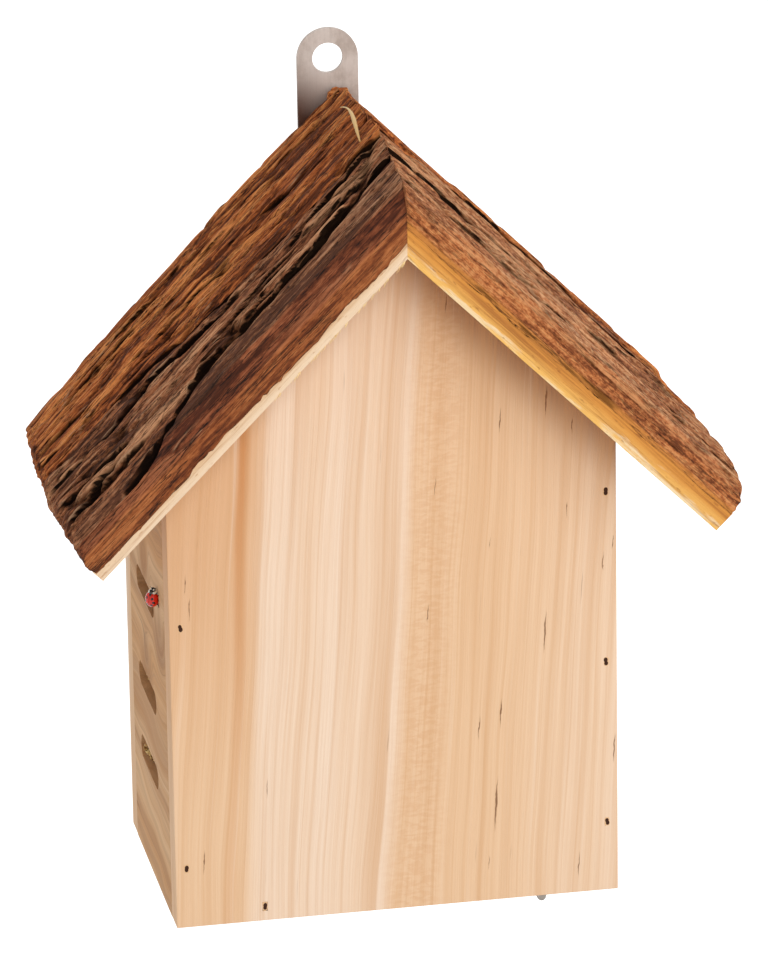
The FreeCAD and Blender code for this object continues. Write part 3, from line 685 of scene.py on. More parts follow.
# The shallow furrows that the solids have too: even steps back, each wandering as it runs down
FURROW_PITCH = 15.0
FURROW_WANDER = 4.0
FURROW_HALF = 2.6
FURROW_DEPTH = 1.6
FURROW_LEAST = 0.35
FURROW_MORE = 0.9
FURROW_CHANGE = 30
FURROW_TURN = 2.3
PLACE_TURN = 1.7

# Plates and flakes: length and width, how far their heights differ, and the cracks round them, painted black
# as shade
PLATE_SIZE = (56, 6.4)
PLATE_RISE = 1.5
PLATE_TILT = 0.5
CRACK_EDGE = (0.15, 0.02)
CRACK_DEPTH = 1.1
CRACK_BLACK = 0.75
FLAKE_SIZE = (19, 2.1)
FLAKE_RISE = 1.1
CHECK_EDGE = (0.14, 0.02)
CHECK_DEPTH = 0.7
CHECK_BLACK = 0.4
CHECK_PATCH = (30, 9)
CHECK_SHARE = (0.3, 0.6)
FIBRE_RISE = 0.1

# How much plates, flakes and broad patches are tinted, and the size of the patches
PLATE_TINT = 1.3
FLAKE_TINT = 0.9
PATCH_TINT = 0.6
TINT_PATCH = (28, 8)

# How steep a wall of bark is painted black as shade, how black, and where the walls have pale lips painted as
# highlights
CLIFF = (1.1, 2.3)
DARKEST = 0.98
HIGHLIGHT_COLUMNS = 2
HIGHLIGHT_PATCH = (12, 6)
HIGHLIGHT_SHARE = (0.5, 0.75)

# The pale flecks: how long they are for their width, their edge, and the crumbs in them
FLECK_LENGTH = 3.2
FLECK_EDGE = (1.2, 0.3)
FLECK_CRUMBS = (0.9, 1.4)
FLECK_SHARE = (0.35, 0.6)

# Sums of noises, as size, length along and length across
BENDS = ((3.0, 70, 40), (1.0, 22, 11), (0.35, 5, 3))
LINE_STRAYS = ((0.8, 11, 1), (0.3, 4.2, 1))
TOP_FIBRES = ((1.0, 17, 1.1), (0.6, 8, 0.75))
SIDE_FIBRES = ((1.0, 26, 1.1), (0.6, 9, 0.6))
EAVE_LAYERS = ((1.0, 9, 1.6), (0.7, 2.2, 1.1))

# How far before and behind the bevel's edge, the first gap and the second one the zone changes
ZONE_LIMITS = ((-0.6, 0.9), (-0.8, 0.4), (-1.0, 0.6))

# Gaps: how uneven they are, their least half width, their walls, and the step in height behind them
GAP_UNEVEN = 0.45
GAP_CHANGE = 13
GAP_CALM = 0.5
GAP_FADE = (0.05, 0.3)
GAP_LEAST = 0.05
GAP_WALL = 0.4
GAP_FLOOR = 0.7
MARGIN_LEAST = 0.01
STEP_WIDTH = 0.7
STEP_FADE = 15.0

# Where the broken layer is missing, from front to back, and how its edge strays
BREAK_FRONT = (-14, -4)
BREAK_EDGE = 0.7
BREAK_STRAY = 3.5
BREAK_CHANGE = 6

# The sides: how high they stand upright, how far fibres and layers move them, how far in they turn darker,
# and their torn foot
SIDE_UPRIGHT = 0.7
EAVE_UPRIGHT = 0.3
FIBRE_LOW = 0.08
FIBRE_MORE = 0.14
LAYER_MOVE = 0.55
SWELL_DARK = (-0.7, -1.2)
TORN_LENGTH = 7
TORN_FINE = 1.6

# The number of each of a slab's noises, which is added to its seed; each furrow and gap has two
BENT, BEVEL_EDGE, PLATES, FLAKES, CHECKED, FIBRES = 0, 6, 7, 8, 9, 13
FURROW_DEEP, GAP_WIDE, TINTED, BROKEN, FURROWS = 15, 16, 17, 18, 20
FRONT_RIM, BACK_RIM, EAVE_RIM, BEVEL_SLOPE, CRUMBLED, HIGHLIGHTS = 40, 41, 42, 43, 44, 45
SIDE_FIBRE, EAVE_LAYER, FOOT_TORN, FOOT_FINE, GAPS = 50, 52, 54, 55, 60


class Gap:
    """A gap in the bark, painted dark as shade: half its width, its depth, how much higher the bark is behind
    it, and its places (along, y, share of those sizes) from the ridge side to the eave side. Wide gaps are
    painted blacker, and their painted shade reaches further past their edges."""

    def __init__(self, half, depth, rise, *places):
        self.half = half
        self.depth = depth
        self.rise = rise
        self.places = np.array(places, float)
        self.black = min(1.0, 0.45 + 1.1 * half)
        self.margin = min(0.6, 1.2 * half)

    def presence(self, along):
        """How much of the gap there is at a place along the slab."""
        return np.interp(along, self.places[:, 0], self.places[:, 2])


@dataclass
class Slab:
    """What differs between the two slabs. Its first gap parts the front from the plates, its second the
    plates from the back. Beyond a place along it a layer has broken off, of the given thickness. Its
    roughness is given for the back, the plates, the front and the bevel, and its flecks by along and y."""

    side: int
    wood: float
    bevel: float
    ragged: float
    gaps: tuple
    broken: tuple
    rough: tuple
    flecks: tuple
    phase: float
    seed: int

    def noise(self, number, u, v=LINE):
        """One of the slab's own noises, from 0 to 1."""
        return noise(u, v, self.seed + number)

    def swing(self, number, u, v=LINE):
        """One of the slab's own noises, from -1 to 1."""
        return swing(u, v, self.seed + number)

    def wood_top(self, y):
        share = across_slab(y)
        return self.wood + WOOD_CROWN * 4 * share * (1 - share)

    def furrow_lines(self):
        """The furrows' places, left out where the rift runs."""
        stations = np.linspace(0, SLAB_LENGTH + 2 * SLAB_FRONT, 4)
        stations[0] = -2 * SLAB_FRONT * math.tan(PITCH)
        count = int((DEPTH - ROOF_FRONT) / FURROW_PITCH) - 1
        for index in range(count):
            y = FURROW_PITCH * (index + 1) + ROOF_FRONT
            if abs(y - self.gaps[0].places[0, 1]) > FURROW_PITCH / 2:
                turns = self.phase + FURROW_TURN * index + PLACE_TURN * np.arange(4)
                yield np.stack([stations, y + FURROW_WANDER * np.sin(turns)], axis=-1)


LEFT_RIFT = (
    (-28, -7, 0.8), (-8, -8, 0.75), (-2, -11, 0.5), (11, -12, 0.5), (20, -13.5, 0.55), (32, -14, 0.6),
    (39, -15.5, 0.75), (46, -14.2, 0.85), (62, -13, 1.1), (70, -14, 1.15), (78, -19, 0.9), (89, -24, 0.7),
    (96, -26.5, 0.55), (107, -28.5, 0.4), (116, -29, 0.0),
)
LEFT_LEDGE = (
    (-28, 8.5, 1.0), (-5, 12.3, 1.0), (13, 10, 1.0), (32, 10.1, 1.0), (45, 12.4, 1.0), (64, 12.6, 0.9),
    (81, 18, 0.8), (92, 20.5, 0.7), (110, 20, 0.0),
)
LEFT_FURROW = (
    (42, 5, 0.0), (56, 4.6, 0.7), (70, 6, 1.0), (83, 8.9, 1.1), (98, 8.2, 0.7), (110, 5.4, 0.8),
    (116, 4, 1.0), (126, 3.9, 1.1), (160, 4.6, 1.1),
)
LEFT_CRACK = ((80, -8, 0.0), (92, -9.2, 0.8), (106, -11.6, 1.0), (121, -10.6, 1.1), (160, -9, 1.1))
LEFT_SLAB = Slab(
    LEFT,
    wood=4.5,
    bevel=5.2,
    ragged=1.8,
    gaps=(
        Gap(1.1, 4.6, 1.1, *LEFT_RIFT),
        Gap(0.6, 0.9, 0.8, *LEFT_LEDGE),
        Gap(1.0, 3.0, 0.8, *LEFT_FURROW),
        Gap(0.7, 2.0, 0.6, (-28, 7, 0.6), (-4, 6, 0.8), (6, 5, 1.2), (18, 2.5, 0.8), (30, 1, 0.0)),
        Gap(0.6, 1.6, 0.5, (24, -4, 0.0), (36, -4.5, 0.8), (48, -4.5, 1.0), (64, -6, 0.0)),
        Gap(0.7, 2.0, 0.5, *LEFT_CRACK),
        Gap(0.9, 2.6, 0.5, (104, -14, 0.0), (116, -16, 0.9), (128, -19, 1.2), (160, -24, 1.2)),
        Gap(0.5, 1.3, 0.5, (-6, 36, 0.0), (6, 38.5, 1.0), (18, 42, 1.0), (40, 47, 0.0)),
        Gap(0.5, 1.2, 0.5, (40, 30, 0.0), (58, 33, 1.0), (76, 31, 1.0), (96, 35, 0.0)),
        Gap(0.6, 1.4, 0.5, (82, 63, 0.0), (95, 62.5, 1.0), (110, 64, 1.1), (123, 59, 0.9), (138, 57, 0.0)),
        Gap(0.5, 1.2, 0.4, (14, 66, 0.0), (36, 70, 1.0), (52, 69, 1.0), (70, 68, 0.0)),
        Gap(0.6, 1.4, 0.5, (102, 38, 0.0), (116, 40, 1.0), (160, 42, 1.0)),
        Gap(0.6, 1.5, 0.5, (-10, -1, 0.0), (4, -4, 1.0), (16, -6.5, 1.0), (28, -8, 0.0)),
        Gap(0.5, 1.2, 0.4, (44, 22, 0.0), (60, 24, 1.0), (84, 26, 0.9), (100, 28, 0.0)),
        Gap(0.5, 1.2, 0.4, (-8, 54, 0.0), (10, 57, 1.0), (34, 58, 1.0), (56, 55, 0.0)),
    ),
    broken=(113.0, 0.0),
    rough=(0.8, 1.1, 0.45, 0.25),
    flecks=((112, 31.5), (116, 29), (120, 27)),
    phase=0.4,
    seed=100,
)
RIGHT_SLAB = Slab(
    RIGHT,
    wood=7.5,
    bevel=2.4,
    ragged=0.9,
    gaps=(
        Gap(0.6, 2.2, 0.8, (-28, -3, 1.0), (0, -2, 1.0), (20, -3, 1.0), (36, -2, 0.8), (78, -1, 0.0)),
        Gap(0.4, 1.0, 0.6, (-28, 24, 1.0), (40, 30, 1.0), (90, 27, 1.0), (160, 32, 1.0)),
        Gap(0.22, 0.5, 0.4, (-2, -18, 0.0), (12, -15, 1.0), (40, -16, 1.0), (64, -13, 0.0)),
        Gap(0.26, 0.55, 0.5, (56, -12, 0.0), (76, -10, 1.0), (86, -9, 1.0), (101, 0, 1.0), (116, 6, 0.0)),
        Gap(0.4, 0.8, 0.5, (96, -14, 0.0), (112, -11, 1.0), (160, -8, 1.0)),
        Gap(0.3, 0.9, 0.4, (24, -22, 0.0), (48, -23, 1.0), (74, -21, 1.0), (96, -23, 0.0)),
        Gap(0.3, 0.9, 0.4, (102, -24, 0.0), (118, -22, 1.0), (160, -25, 1.0)),
    ),
    broken=(113.0, 1.4),
    rough=(0.75, 0.8, 0.6, 0.35),
    flecks=((94, -20), (97, -14), (99, -8), (60, -24), (70, -20), (78, -22), (86, -19), (90, -24)),
    phase=2.0,
    seed=200,
)


def across_slab(y):
    """How far back a place on a slab lies, from 0 at its front edge to 1 at its back edge."""
    return (y - ROOF_FRONT) / (DEPTH - ROOF_FRONT)


def crown(y):
    """The bark's mean height above the slab's underside."""
    share = across_slab(y)
    return SLAB_FRONT + (SLAB_BACK - SLAB_FRONT) * share + SLAB_CROWN * 4 * share * (1 - share)


def ragged_line(line, along, seed):
    """The y of a line along the slab, straying to both sides."""
    return np.interp(along, line[:, 0], line[:, 1]) + waves(LINE_STRAYS, along, LINE, seed)


def guide(slab, number, share):
    """The y of one of the slab's gaps for each row of its mesh."""
    line = slab.gaps[number].places
    ridge = -crown(line[0, 1]) * math.tan(PITCH)
    along = ridge + share * (SLAB_LENGTH - EAVE_ROUND - ridge)
    return ragged_line(line, along, slab.seed + GAPS + 2 * number)


def bark_columns(*edges):
    """The y of every place of a slab's mesh, with an even number of columns between edges that wander."""
    columns = []
    for near, far in zip(edges, edges[1:]):
        count = int(np.mean(far - near) / STEP_ACROSS)
        columns.append(near + (far - near) * np.linspace(0, 1, count, endpoint=False))
    return np.hstack([*columns, edges[-1]])


def strips(along, across, length, width, seed):
    """Long cells as in split bark: each cell's own number from 0 to 1, how far a place lies to one side of
    the cell's middle, and how far from its edge."""
    rng = np.random.default_rng(seed)
    tables = rng.random((3, NOISE_CELLS, NOISE_CELLS))
    u, v = np.broadcast_arrays(along / length, across / width)
    cell_u = np.floor(u).astype(int)
    cell_v = np.floor(v).astype(int)
    nearest = np.full(u.shape, np.inf)
    second = np.full(u.shape, np.inf)
    number = np.zeros(u.shape)
    aside = np.zeros(u.shape)
    for step_u in (-1, 0, 1):
        for step_v in (-1, 0, 1):
            key = (cell_u + step_u) % NOISE_CELLS, (cell_v + step_v) % NOISE_CELLS
            from_u = u - cell_u - step_u - tables[0][key]
            from_v = v - cell_v - step_v - tables[1][key]
            distance = np.hypot(from_u, from_v)
            nearer = distance < nearest
            second = np.where(nearer, nearest, np.minimum(second, distance))
            number = np.where(nearer, tables[2][key], number)
            aside = np.where(nearer, from_v, aside)
            nearest = np.where(nearer, distance, nearest)
    return number, aside, second - nearest


def bark_relief(slab, along, y):
    """Heights over the mean surface, the zone (0 back, 1 plates, 2 front, 3 bevel), how black the gaps and
    cracks are painted as their shade, and how each strip's colour differs."""
    bent = y + waves(BENDS, along, y, slab.seed + BENT)
    bevel_edge = ROOF_FRONT + slab.bevel + BEVEL_STRAY * slab.swing(BEVEL_EDGE, along / BEVEL_CHANGE)
    behind = []
    for number, gap in enumerate(slab.gaps):
        behind.append(y - ragged_line(gap.places, along, slab.seed + GAPS + 2 * number))
    zone = 3
    for distance, limits in zip((y - bevel_edge, *behind), ZONE_LIMITS):
        zone = zone - smooth(distance, *limits)
    rough = np.interp(zone, range(4), slab.rough)

    plate, plate_aside, plate_edge = strips(along, bent, *PLATE_SIZE, slab.seed + PLATES)
    flake, _, flake_edge = strips(along, bent, *FLAKE_SIZE, slab.seed + FLAKES)
    plate = plate - 0.5
    flake = flake - 0.5
    cracks = smooth(plate_edge, *CRACK_EDGE)
    checked = slab.noise(CHECKED, along / CHECK_PATCH[0], bent / CHECK_PATCH[1])
    checks = smooth(flake_edge, *CHECK_EDGE) * smooth(checked, *CHECK_SHARE)
    height = PLATE_RISE * plate + FLAKE_RISE * flake + PLATE_TILT * plate_aside
    height = rough * (height - CRACK_DEPTH * cracks - CHECK_DEPTH * checks)
    height = height + FIBRE_RISE * (1 + rough) * waves(TOP_FIBRES, along, bent, slab.seed + FIBRES)
    # Painted shade: the cracks round plates and flakes are painted dark
    dark = rough.clip(0, 1) * np.maximum(CRACK_BLACK * cracks, CHECK_BLACK * checks)

    for number, line in enumerate(slab.furrow_lines()):
        aside = np.abs(y - ragged_line(line, along, slab.seed + FURROWS + 2 * number))
        change = slab.noise(FURROW_DEEP, along / FURROW_CHANGE, number + LINE)
        deep = FURROW_DEPTH * (FURROW_LEAST + FURROW_MORE * change)
        height = height - deep * np.clip(1 - aside / FURROW_HALF, 0, 1)

    for number, (gap, distance) in enumerate(zip(slab.gaps, behind)):
        present = gap.presence(along)
        aside = np.abs(distance)
        uneven = 1 + GAP_UNEVEN * slab.swing(GAP_WIDE, along / GAP_CHANGE, number + LINE)
        half = gap.half * present * uneven + GAP_LEAST
        inside = present * smooth(aside, half + GAP_WALL, half * GAP_FLOOR)
        height = height * (1 - GAP_CALM * inside) - gap.depth * inside
        step = smooth(distance, 0, STEP_WIDTH) * np.exp(-((distance / STEP_FADE) ** 2))
        height = height + gap.rise * present * step
        # Painted shade: the gap and a margin past its edges are painted black
        black = gap.black * smooth(present, *GAP_FADE)
        dark = np.maximum(dark, black * smooth(aside, half + gap.margin * present + MARGIN_LEAST, half))

    break_at, layer = slab.broken
    beyond = along + BREAK_STRAY * slab.swing(BROKEN, y / BREAK_CHANGE)
    gone = smooth(beyond, break_at - BREAK_EDGE, break_at + BREAK_EDGE) * smooth(y, *BREAK_FRONT)
    patch = slab.swing(TINTED, along / TINT_PATCH[0], y / TINT_PATCH[1])
    tint = PLATE_TINT * plate + FLAKE_TINT * flake + PATCH_TINT * patch
    return height - layer * gone, zone, dark, tint


def bark_top(slab):
    """A slab's upper surface, from the ridge to the eave and from the front to the back."""
    rows = int(SLAB_LENGTH / STEP_ALONG)
    share = np.linspace(0, 1, rows)[:, None]
    front = ROOF_FRONT + FRONT_INSET * (0.4 + slab.noise(FRONT_RIM, share * FRONT_WAVES))
    back = DEPTH - BACK_INSET * (0.2 + slab.noise(BACK_RIM, share * BACK_WAVES))
    back = back - BACK_TAPER * share**CORNER_POWER
    rift = np.maximum(guide(slab, 0, share), front + RIFT_CLEAR)
    y = bark_columns(front, rift, guide(slab, 1, share), back)
    across = across_slab(y)
    notches = bark_relief(slab, np.full_like(y[-1:], SLAB_LENGTH - EAVE_ROUND), y[-1:])[0]
    uneven = EAVE_LEAST + EAVE_MORE * slab.noise(EAVE_RIM, across[-1:] * EAVE_WAVES)
    eave = SLAB_LENGTH - EAVE_ROUND * uneven + NOTCH_SHARE * notches.clip(-NOTCH_DEEP, 0)
    ridge = -crown(y) * math.tan(PITCH)
    along = ridge + share * (eave - ridge)
    relief, zone, dark, tint = bark_relief(slab, along, y)
    dark = along_smoothed(dark)
    sloped = SLAB_FRONT - slab.bevel + y - ROOF_FRONT
    sloped = sloped + SLOPE_STRAY * slab.swing(BEVEL_SLOPE, along / SLOPE_CHANGE)
    mean = np.minimum(crown(y) - BACK_THIN * across**2 * share**CORNER_POWER, sloped)
    above = np.maximum(mean + along_smoothed(relief), slab.wood_top(y) + BARK_LEAST)
    along = along + (crown(y) - above) * (1 - share) ** RIDGE_POWER * math.tan(PITCH)
    # Painted shade: walls that rise steeply towards the back face the front and are painted black
    steepness = np.gradient(above, axis=1) / np.gradient(y, axis=1)
    cliff = smooth(steepness, *CLIFF)
    # Painted highlight: a pale lip just behind the top of each steep wall, in patches
    fleck_and_highlight = np.clip(np.roll(cliff, HIGHLIGHT_COLUMNS, axis=1) - cliff, 0, 1)
    fleck_and_highlight = fleck_and_highlight * smooth(slab.noise(HIGHLIGHTS, along / HIGHLIGHT_PATCH[0], y / HIGHLIGHT_PATCH[1]), *HIGHLIGHT_SHARE)
    crumbly = slab.noise(CRUMBLED, along * FLECK_CRUMBS[0], y * FLECK_CRUMBS[1])
    for fleck_along, fleck_y in slab.flecks:
        spread = np.hypot((along - fleck_along) / FLECK_LENGTH, y - fleck_y)
        fleck_and_highlight = np.maximum(fleck_and_highlight, smooth(spread, *FLECK_EDGE) * smooth(crumbly, *FLECK_SHARE))
    dark = np.maximum(dark, cliff)
    return along, y, above, {"zone": zone, "dark": DARKEST * dark, "tint": tint, "fleck_and_highlight": fleck_and_highlight * (1 - dark)}


def along_smoothed(grid):
    """A grid evened out along the slab, as the bark's fibres run."""
    for _ in range(SMOOTH_ROWS):
        padded = np.pad(grid, ((1, 1), (0, 0)), mode="edge")
        grid = (padded[:-2] + 2 * grid + padded[2:]) / 4
    return grid


def rim(grid):
    """A grid's rim as one loop: front edge, eave, back edge, ridge."""
    return np.concatenate([grid[:-1, 0], grid[-1, :-1], grid[:0:-1, -1], grid[0, :0:-1]])


def quads(ids):
    """The faces between the neighbours of a grid of vertex numbers."""
    return np.stack([ids[:-1, :-1], ids[1:, :-1], ids[1:, 1:], ids[:-1, 1:]], axis=-1).reshape(-1, 4).tolist()


def ring_faces(rings, sides):
    """The faces of a bar made of rings of points, open at its ends, and the numbers of its points."""
    ids = np.arange(rings * sides).reshape(rings, sides)
    return quads(np.hstack([ids, ids[:, :1]])), ids


def bar_faces(rings, sides):
    """The same with its ends closed."""
    faces, ids = ring_faces(rings, sides)
    return faces + [ids[0].tolist(), ids[-1].tolist()]


def unit(vectors, least=0.0):
    """Vectors at a length of 1; the least number keeps the shortest ones from growing without end."""
    return vectors / (np.linalg.norm(vectors, axis=1)[:, None] + least)


def bark_sides(slab, along, y, above):
    """The slab's sides from the top's rim down to the wood: arrays with one row per level."""
    rows, columns = along.shape
    rim_along, rim_y, rim_above = rim(along), rim(y), rim(above)
    from_ridge = rim(np.repeat(np.linspace(0, 1, rows)[:, None], columns, axis=1))
    from_front = rim((y - y[:, :1]) / (y[:, -1:] - y[:, :1]))
    at_ridge = from_ridge == 0
    at_eave = from_ridge == 1
    at_front = from_front == 0
    outward = np.where(at_ridge, 0.0, (from_front == 1) * 1.0 - at_front)
    torn = slab.noise(FOOT_TORN, rim_along / TORN_LENGTH)
    torn = torn * (0.3 + slab.noise(FOOT_FINE, rim_along / TORN_FINE))
    foot_y = ROOF_FRONT + (DEPTH - ROOF_FRONT) * from_front - PROUD * at_front
    foot_above = slab.wood_top(foot_y) - BURIED - slab.ragged * torn * at_front
    foot_ridge = -foot_above * math.tan(PITCH)
    foot_along = foot_ridge + (SLAB_LENGTH - foot_ridge) * from_ridge

    level = np.linspace(1, 0, SIDE_ROWS + 1)[1:, None]
    upright = np.where(at_eave, EAVE_UPRIGHT, SIDE_UPRIGHT)
    lean = np.clip((level - upright) / (1 - upright), 0, 1)
    turn = 1 - np.sqrt(1 - lean**2)
    side_above = foot_above + (rim_above - foot_above) * level
    side_y = foot_y + (rim_y - foot_y) * turn
    side_along = foot_along + (rim_along - foot_along) * turn
    fibre = waves(SIDE_FIBRES, side_along, side_above, slab.seed + SIDE_FIBRE)
    layer = waves(EAVE_LAYERS, side_y, side_above, slab.seed + EAVE_LAYER)
    side_y = side_y + outward * (FIBRE_LOW + FIBRE_MORE * lean) * fibre
    moved = side_along + at_eave * LAYER_MOVE * layer
    side_along = np.where(at_ridge, -side_above * math.tan(PITCH), moved)
    # The sides' swell from fibres and layers: they are darker and deeper in tone where it sinks in
    side_swell = np.where(at_eave, layer, fibre)
    looks = {
        "dark": 0.6 * smooth(side_swell, *SWELL_DARK),
        "tint": 0.7 * side_swell,
        "fleck_and_highlight": np.zeros_like(side_swell),
        "sawn": np.where(at_eave, 0.2, smooth(level, 1.0, 0.8)),
    }
    return side_along, side_y, side_above, looks


def bark_piece(name, node, slab, material):
    """The bark of one slab: relief on top, sides below it, closed underneath."""
    along, y, above, looks = bark_top(slab)
    side_along, side_y, side_above, side_looks = bark_sides(slab, along, y, above)
    ids = np.arange(along.size).reshape(along.shape)
    side_ids = along.size + np.arange(side_along.size).reshape(side_along.shape)
    loops = np.vstack([rim(ids)[None, :], side_ids])
    loops = np.hstack([loops, loops[:, :1]])
    faces = quads(ids) + quads(loops) + [side_ids[-1].tolist()]
    looks["sawn"] = np.zeros_like(along)
    side_looks["zone"] = np.repeat(rim(looks["zone"])[None, :], SIDE_ROWS, axis=0)

    def joined(top, sides):
        return np.concatenate([top.ravel(), sides.ravel()])

    places = (joined(along, side_along), joined(y, side_y), joined(above, side_above))
    attributes = {key: joined(looks[key], side_looks[key]) for key in looks}
    mesh = new_mesh(name, slab_place(slab.side, *places), faces, np.stack(places, axis=-1), **attributes)
    add_piece(name, mesh, material, "bark", [node])


# Small shapes, gathered into one mesh each

# A direction that no bar runs in, to find its sides by
TUBE_SIDEWAYS = (0.31, 0.52, 0.79)


class Heap:
    """Shapes in house coordinates that become one mesh."""

    def __init__(self):
        self.points = []
        self.faces = []
        self.grain = []
        self.marks = []
        self.count = 0

    def add(self, points, faces, grain=None, mark=0.0):
        points = np.asarray(points, float).reshape(-1, 3)
        self.faces += [[number + self.count for number in face] for face in faces]
        self.points.append(points)
        self.grain.append(points if grain is None else np.asarray(grain, float).reshape(-1, 3))
        self.marks.append(np.broadcast_to(mark, len(points)))
        self.count += len(points)

    def tube(self, path, radius, sides=8, mark=0.0):
        """A round bar along a path, thinner towards its end if two radii are given."""
        path = np.asarray(path, float)
        radii = np.linspace(*np.broadcast_to(radius, 2), len(path))
        heading = unit(np.gradient(path, axis=0))
        aside = unit(np.cross(heading, TUBE_SIDEWAYS))
        third = np.cross(heading, aside)
        angle = np.linspace(0, 2 * math.pi, sides, endpoint=False)
        ring = np.cos(angle)[None, :, None] * aside[:, None] + np.sin(angle)[None, :, None] * third[:, None]
        points = path[:, None] + ring * radii[:, None, None]
        self.add(points, bar_faces(len(path), sides), mark=mark)

    def piece(self, name, material, slot, replaces=(), mark="mark"):
        """The heap as a piece of the scene; the marks are kept under the name of an attribute."""
        marks = {mark: np.concatenate(self.marks)}
        points = place(*np.concatenate(self.points).T)
        mesh = new_mesh(name, points, self.faces, np.concatenate(self.grain), **marks)
        add_piece(name, mesh, material, slot, replaces)


# Where noises over a ball start, clear of zero
NOISE_START = 9


def rings_of_ball(latitude, sides):
    """The points of rings on a ball of radius 1."""
    angle = np.linspace(0, 2 * math.pi, sides, endpoint=False)
    first = np.outer(np.cos(latitude), np.cos(angle))
    second = np.outer(np.cos(latitude), np.sin(angle))
    third = np.outer(np.sin(latitude), np.ones(sides))
    return np.stack([first, second, third], axis=-1).reshape(-1, 3)


def ball(rings, sides):
    """A closed ball of radius 1."""
    latitude = np.linspace(-math.pi / 2, math.pi / 2, rings + 2)[1:-1]
    return rings_of_ball(latitude, sides), bar_faces(rings, sides)


def dome(radii, rings, sides):
    """A half ball: points with their base on the plane of the first two axes, and faces."""
    latitude = np.linspace(0, math.pi / 2, rings, endpoint=False)
    points = np.vstack([rings_of_ball(latitude, sides), [0, 0, 1]])
    faces, ids = ring_faces(rings, sides)
    slices = [[ids[-1, i], ids[-1, (i + 1) % sides], rings * sides] for i in range(sides)]
    return points * radii, faces + [ids[0].tolist()] + slices


def lumpy(points, cells, seed):
    """Noise from -1 to 1 over a ball."""
    x, y, z = (points * cells).T
    return swing(x + NOISE_START, y + z + NOISE_START, seed)


# Wood wool: a lumpy core under curled ribbons

WOOL_RIBBONS = 620
RIBBON_STEPS = 20
RIBBON_THICK = 0.22
RIBBON_CORNERS = ((1, 1), (-1, 1), (-1, -1), (1, -1))
RIBBON_GRAIN = 1.5
RIBBON_APART = 9
TINY = 1e-6
WOOL_SEED = 41
WOOL_CLEAR = 0.8
WOOL_BASE = 28.2
WOOL_TOP = 146.0
WOOL_LOW = np.array([-HALF_WIDTH + WALL + WOOL_CLEAR, BOARD + WOOL_CLEAR, WOOL_BASE])
WOOL_HIGH = np.array([HALF_WIDTH - WALL - WOOL_CLEAR, DEPTH - BOARD - WOOL_CLEAR, WOOL_TOP])

# Curls: radius, turns and drift, the ribbons' width, and how uneven the curls are and how often
WOOL_CURLS = ((3.5, 10), (0.7, 2.2), (4, 22))
WOOL_WIDE = (0.9, 1.9)
CURL_UNEVEN = 0.3
CURL_BEATS = 3.1
CURL_START = 6

# Where ribbons lie: half of them at the two walls, a quarter at the base, and how far they keep inside
WALL_SHARE = 0.5
BASE_SHARE = 0.25
AT_WALLS = (0.02, 0.98)
AT_BASE = 0.03
WOOL_INSIDE = 0.9
WOOL_SLACK = 2.5

# The core: how square it is, how far inside, how lumpy and how often
CORE_POWER = 0.45
CORE_INSIDE = 7
CORE_LUMPS = 0.05
CORE_CELLS = (5, 5, 7)
CORE_SEED = 71


def curls(rng, centres, radius, turns, drift):
    """Curled paths round centres, and the axis that each one curls about."""
    count = len(centres)
    axis = unit(rng.normal(size=(count, 3)))
    first = unit(np.cross(axis, rng.normal(size=(count, 3))))
    second = np.cross(axis, first)
    share = np.linspace(0, 1, RIBBON_STEPS)[None, :]
    angle = 2 * math.pi * (rng.random((count, 1)) + share * rng.uniform(*turns, (count, 1)))
    reach = rng.uniform(*radius, (count, 1))
    reach = reach * (1 + CURL_UNEVEN * np.sin(CURL_BEATS * angle + CURL_START * rng.random((count, 1))))
    slide = (share - 0.5) * rng.uniform(*drift, (count, 1))
    round_axis = np.cos(angle)[..., None] * first[:, None] + np.sin(angle)[..., None] * second[:, None]
    path = centres[:, None] + reach[..., None] * round_axis
    return path + slide[..., None] * axis[:, None], axis


def add_ribbons(heap, rng, paths, axes, widths):
    """Thin flat ribbons along paths, each with its own shade."""
    for path, axis, width in zip(paths, axes, widths):
        heading = unit(np.gradient(path, axis=0) + TINY)
        flat = unit(np.cross(heading, axis), TINY)
        half_wide = np.cross(flat, heading) * width / 2
        half_thick = flat * RIBBON_THICK / 2
        points = np.stack([path + u * half_wide + v * half_thick for u, v in RIBBON_CORNERS], axis=1)
        length = np.repeat(np.arange(len(path))[:, None] * RIBBON_GRAIN, 4, axis=1)
        across = np.broadcast_to([0, width, width, 0], length.shape)
        shade = rng.random()
        grain = np.stack([length, across + RIBBON_APART * shade, np.zeros_like(length)], axis=-1)
        heap.add(points, bar_faces(len(path), 4), grain, mark=shade)


def wool_core(heap):
    """The middle of the wad, in the deepest wool tone as painted shade, so that nothing shows through it."""
    points, faces = ball(40, 64)
    squared = np.sign(points) * np.abs(points) ** CORE_POWER
    middle = (WOOL_LOW + WOOL_HIGH) / 2
    half = (WOOL_HIGH - WOOL_LOW) / 2 - CORE_INSIDE
    lumps = 1 + CORE_LUMPS * lumpy(points, CORE_CELLS, CORE_SEED)[:, None]
    # Painted shade: the core takes the deepest wool tone
    heap.add(middle + half * squared * lumps, faces, mark=1.0)


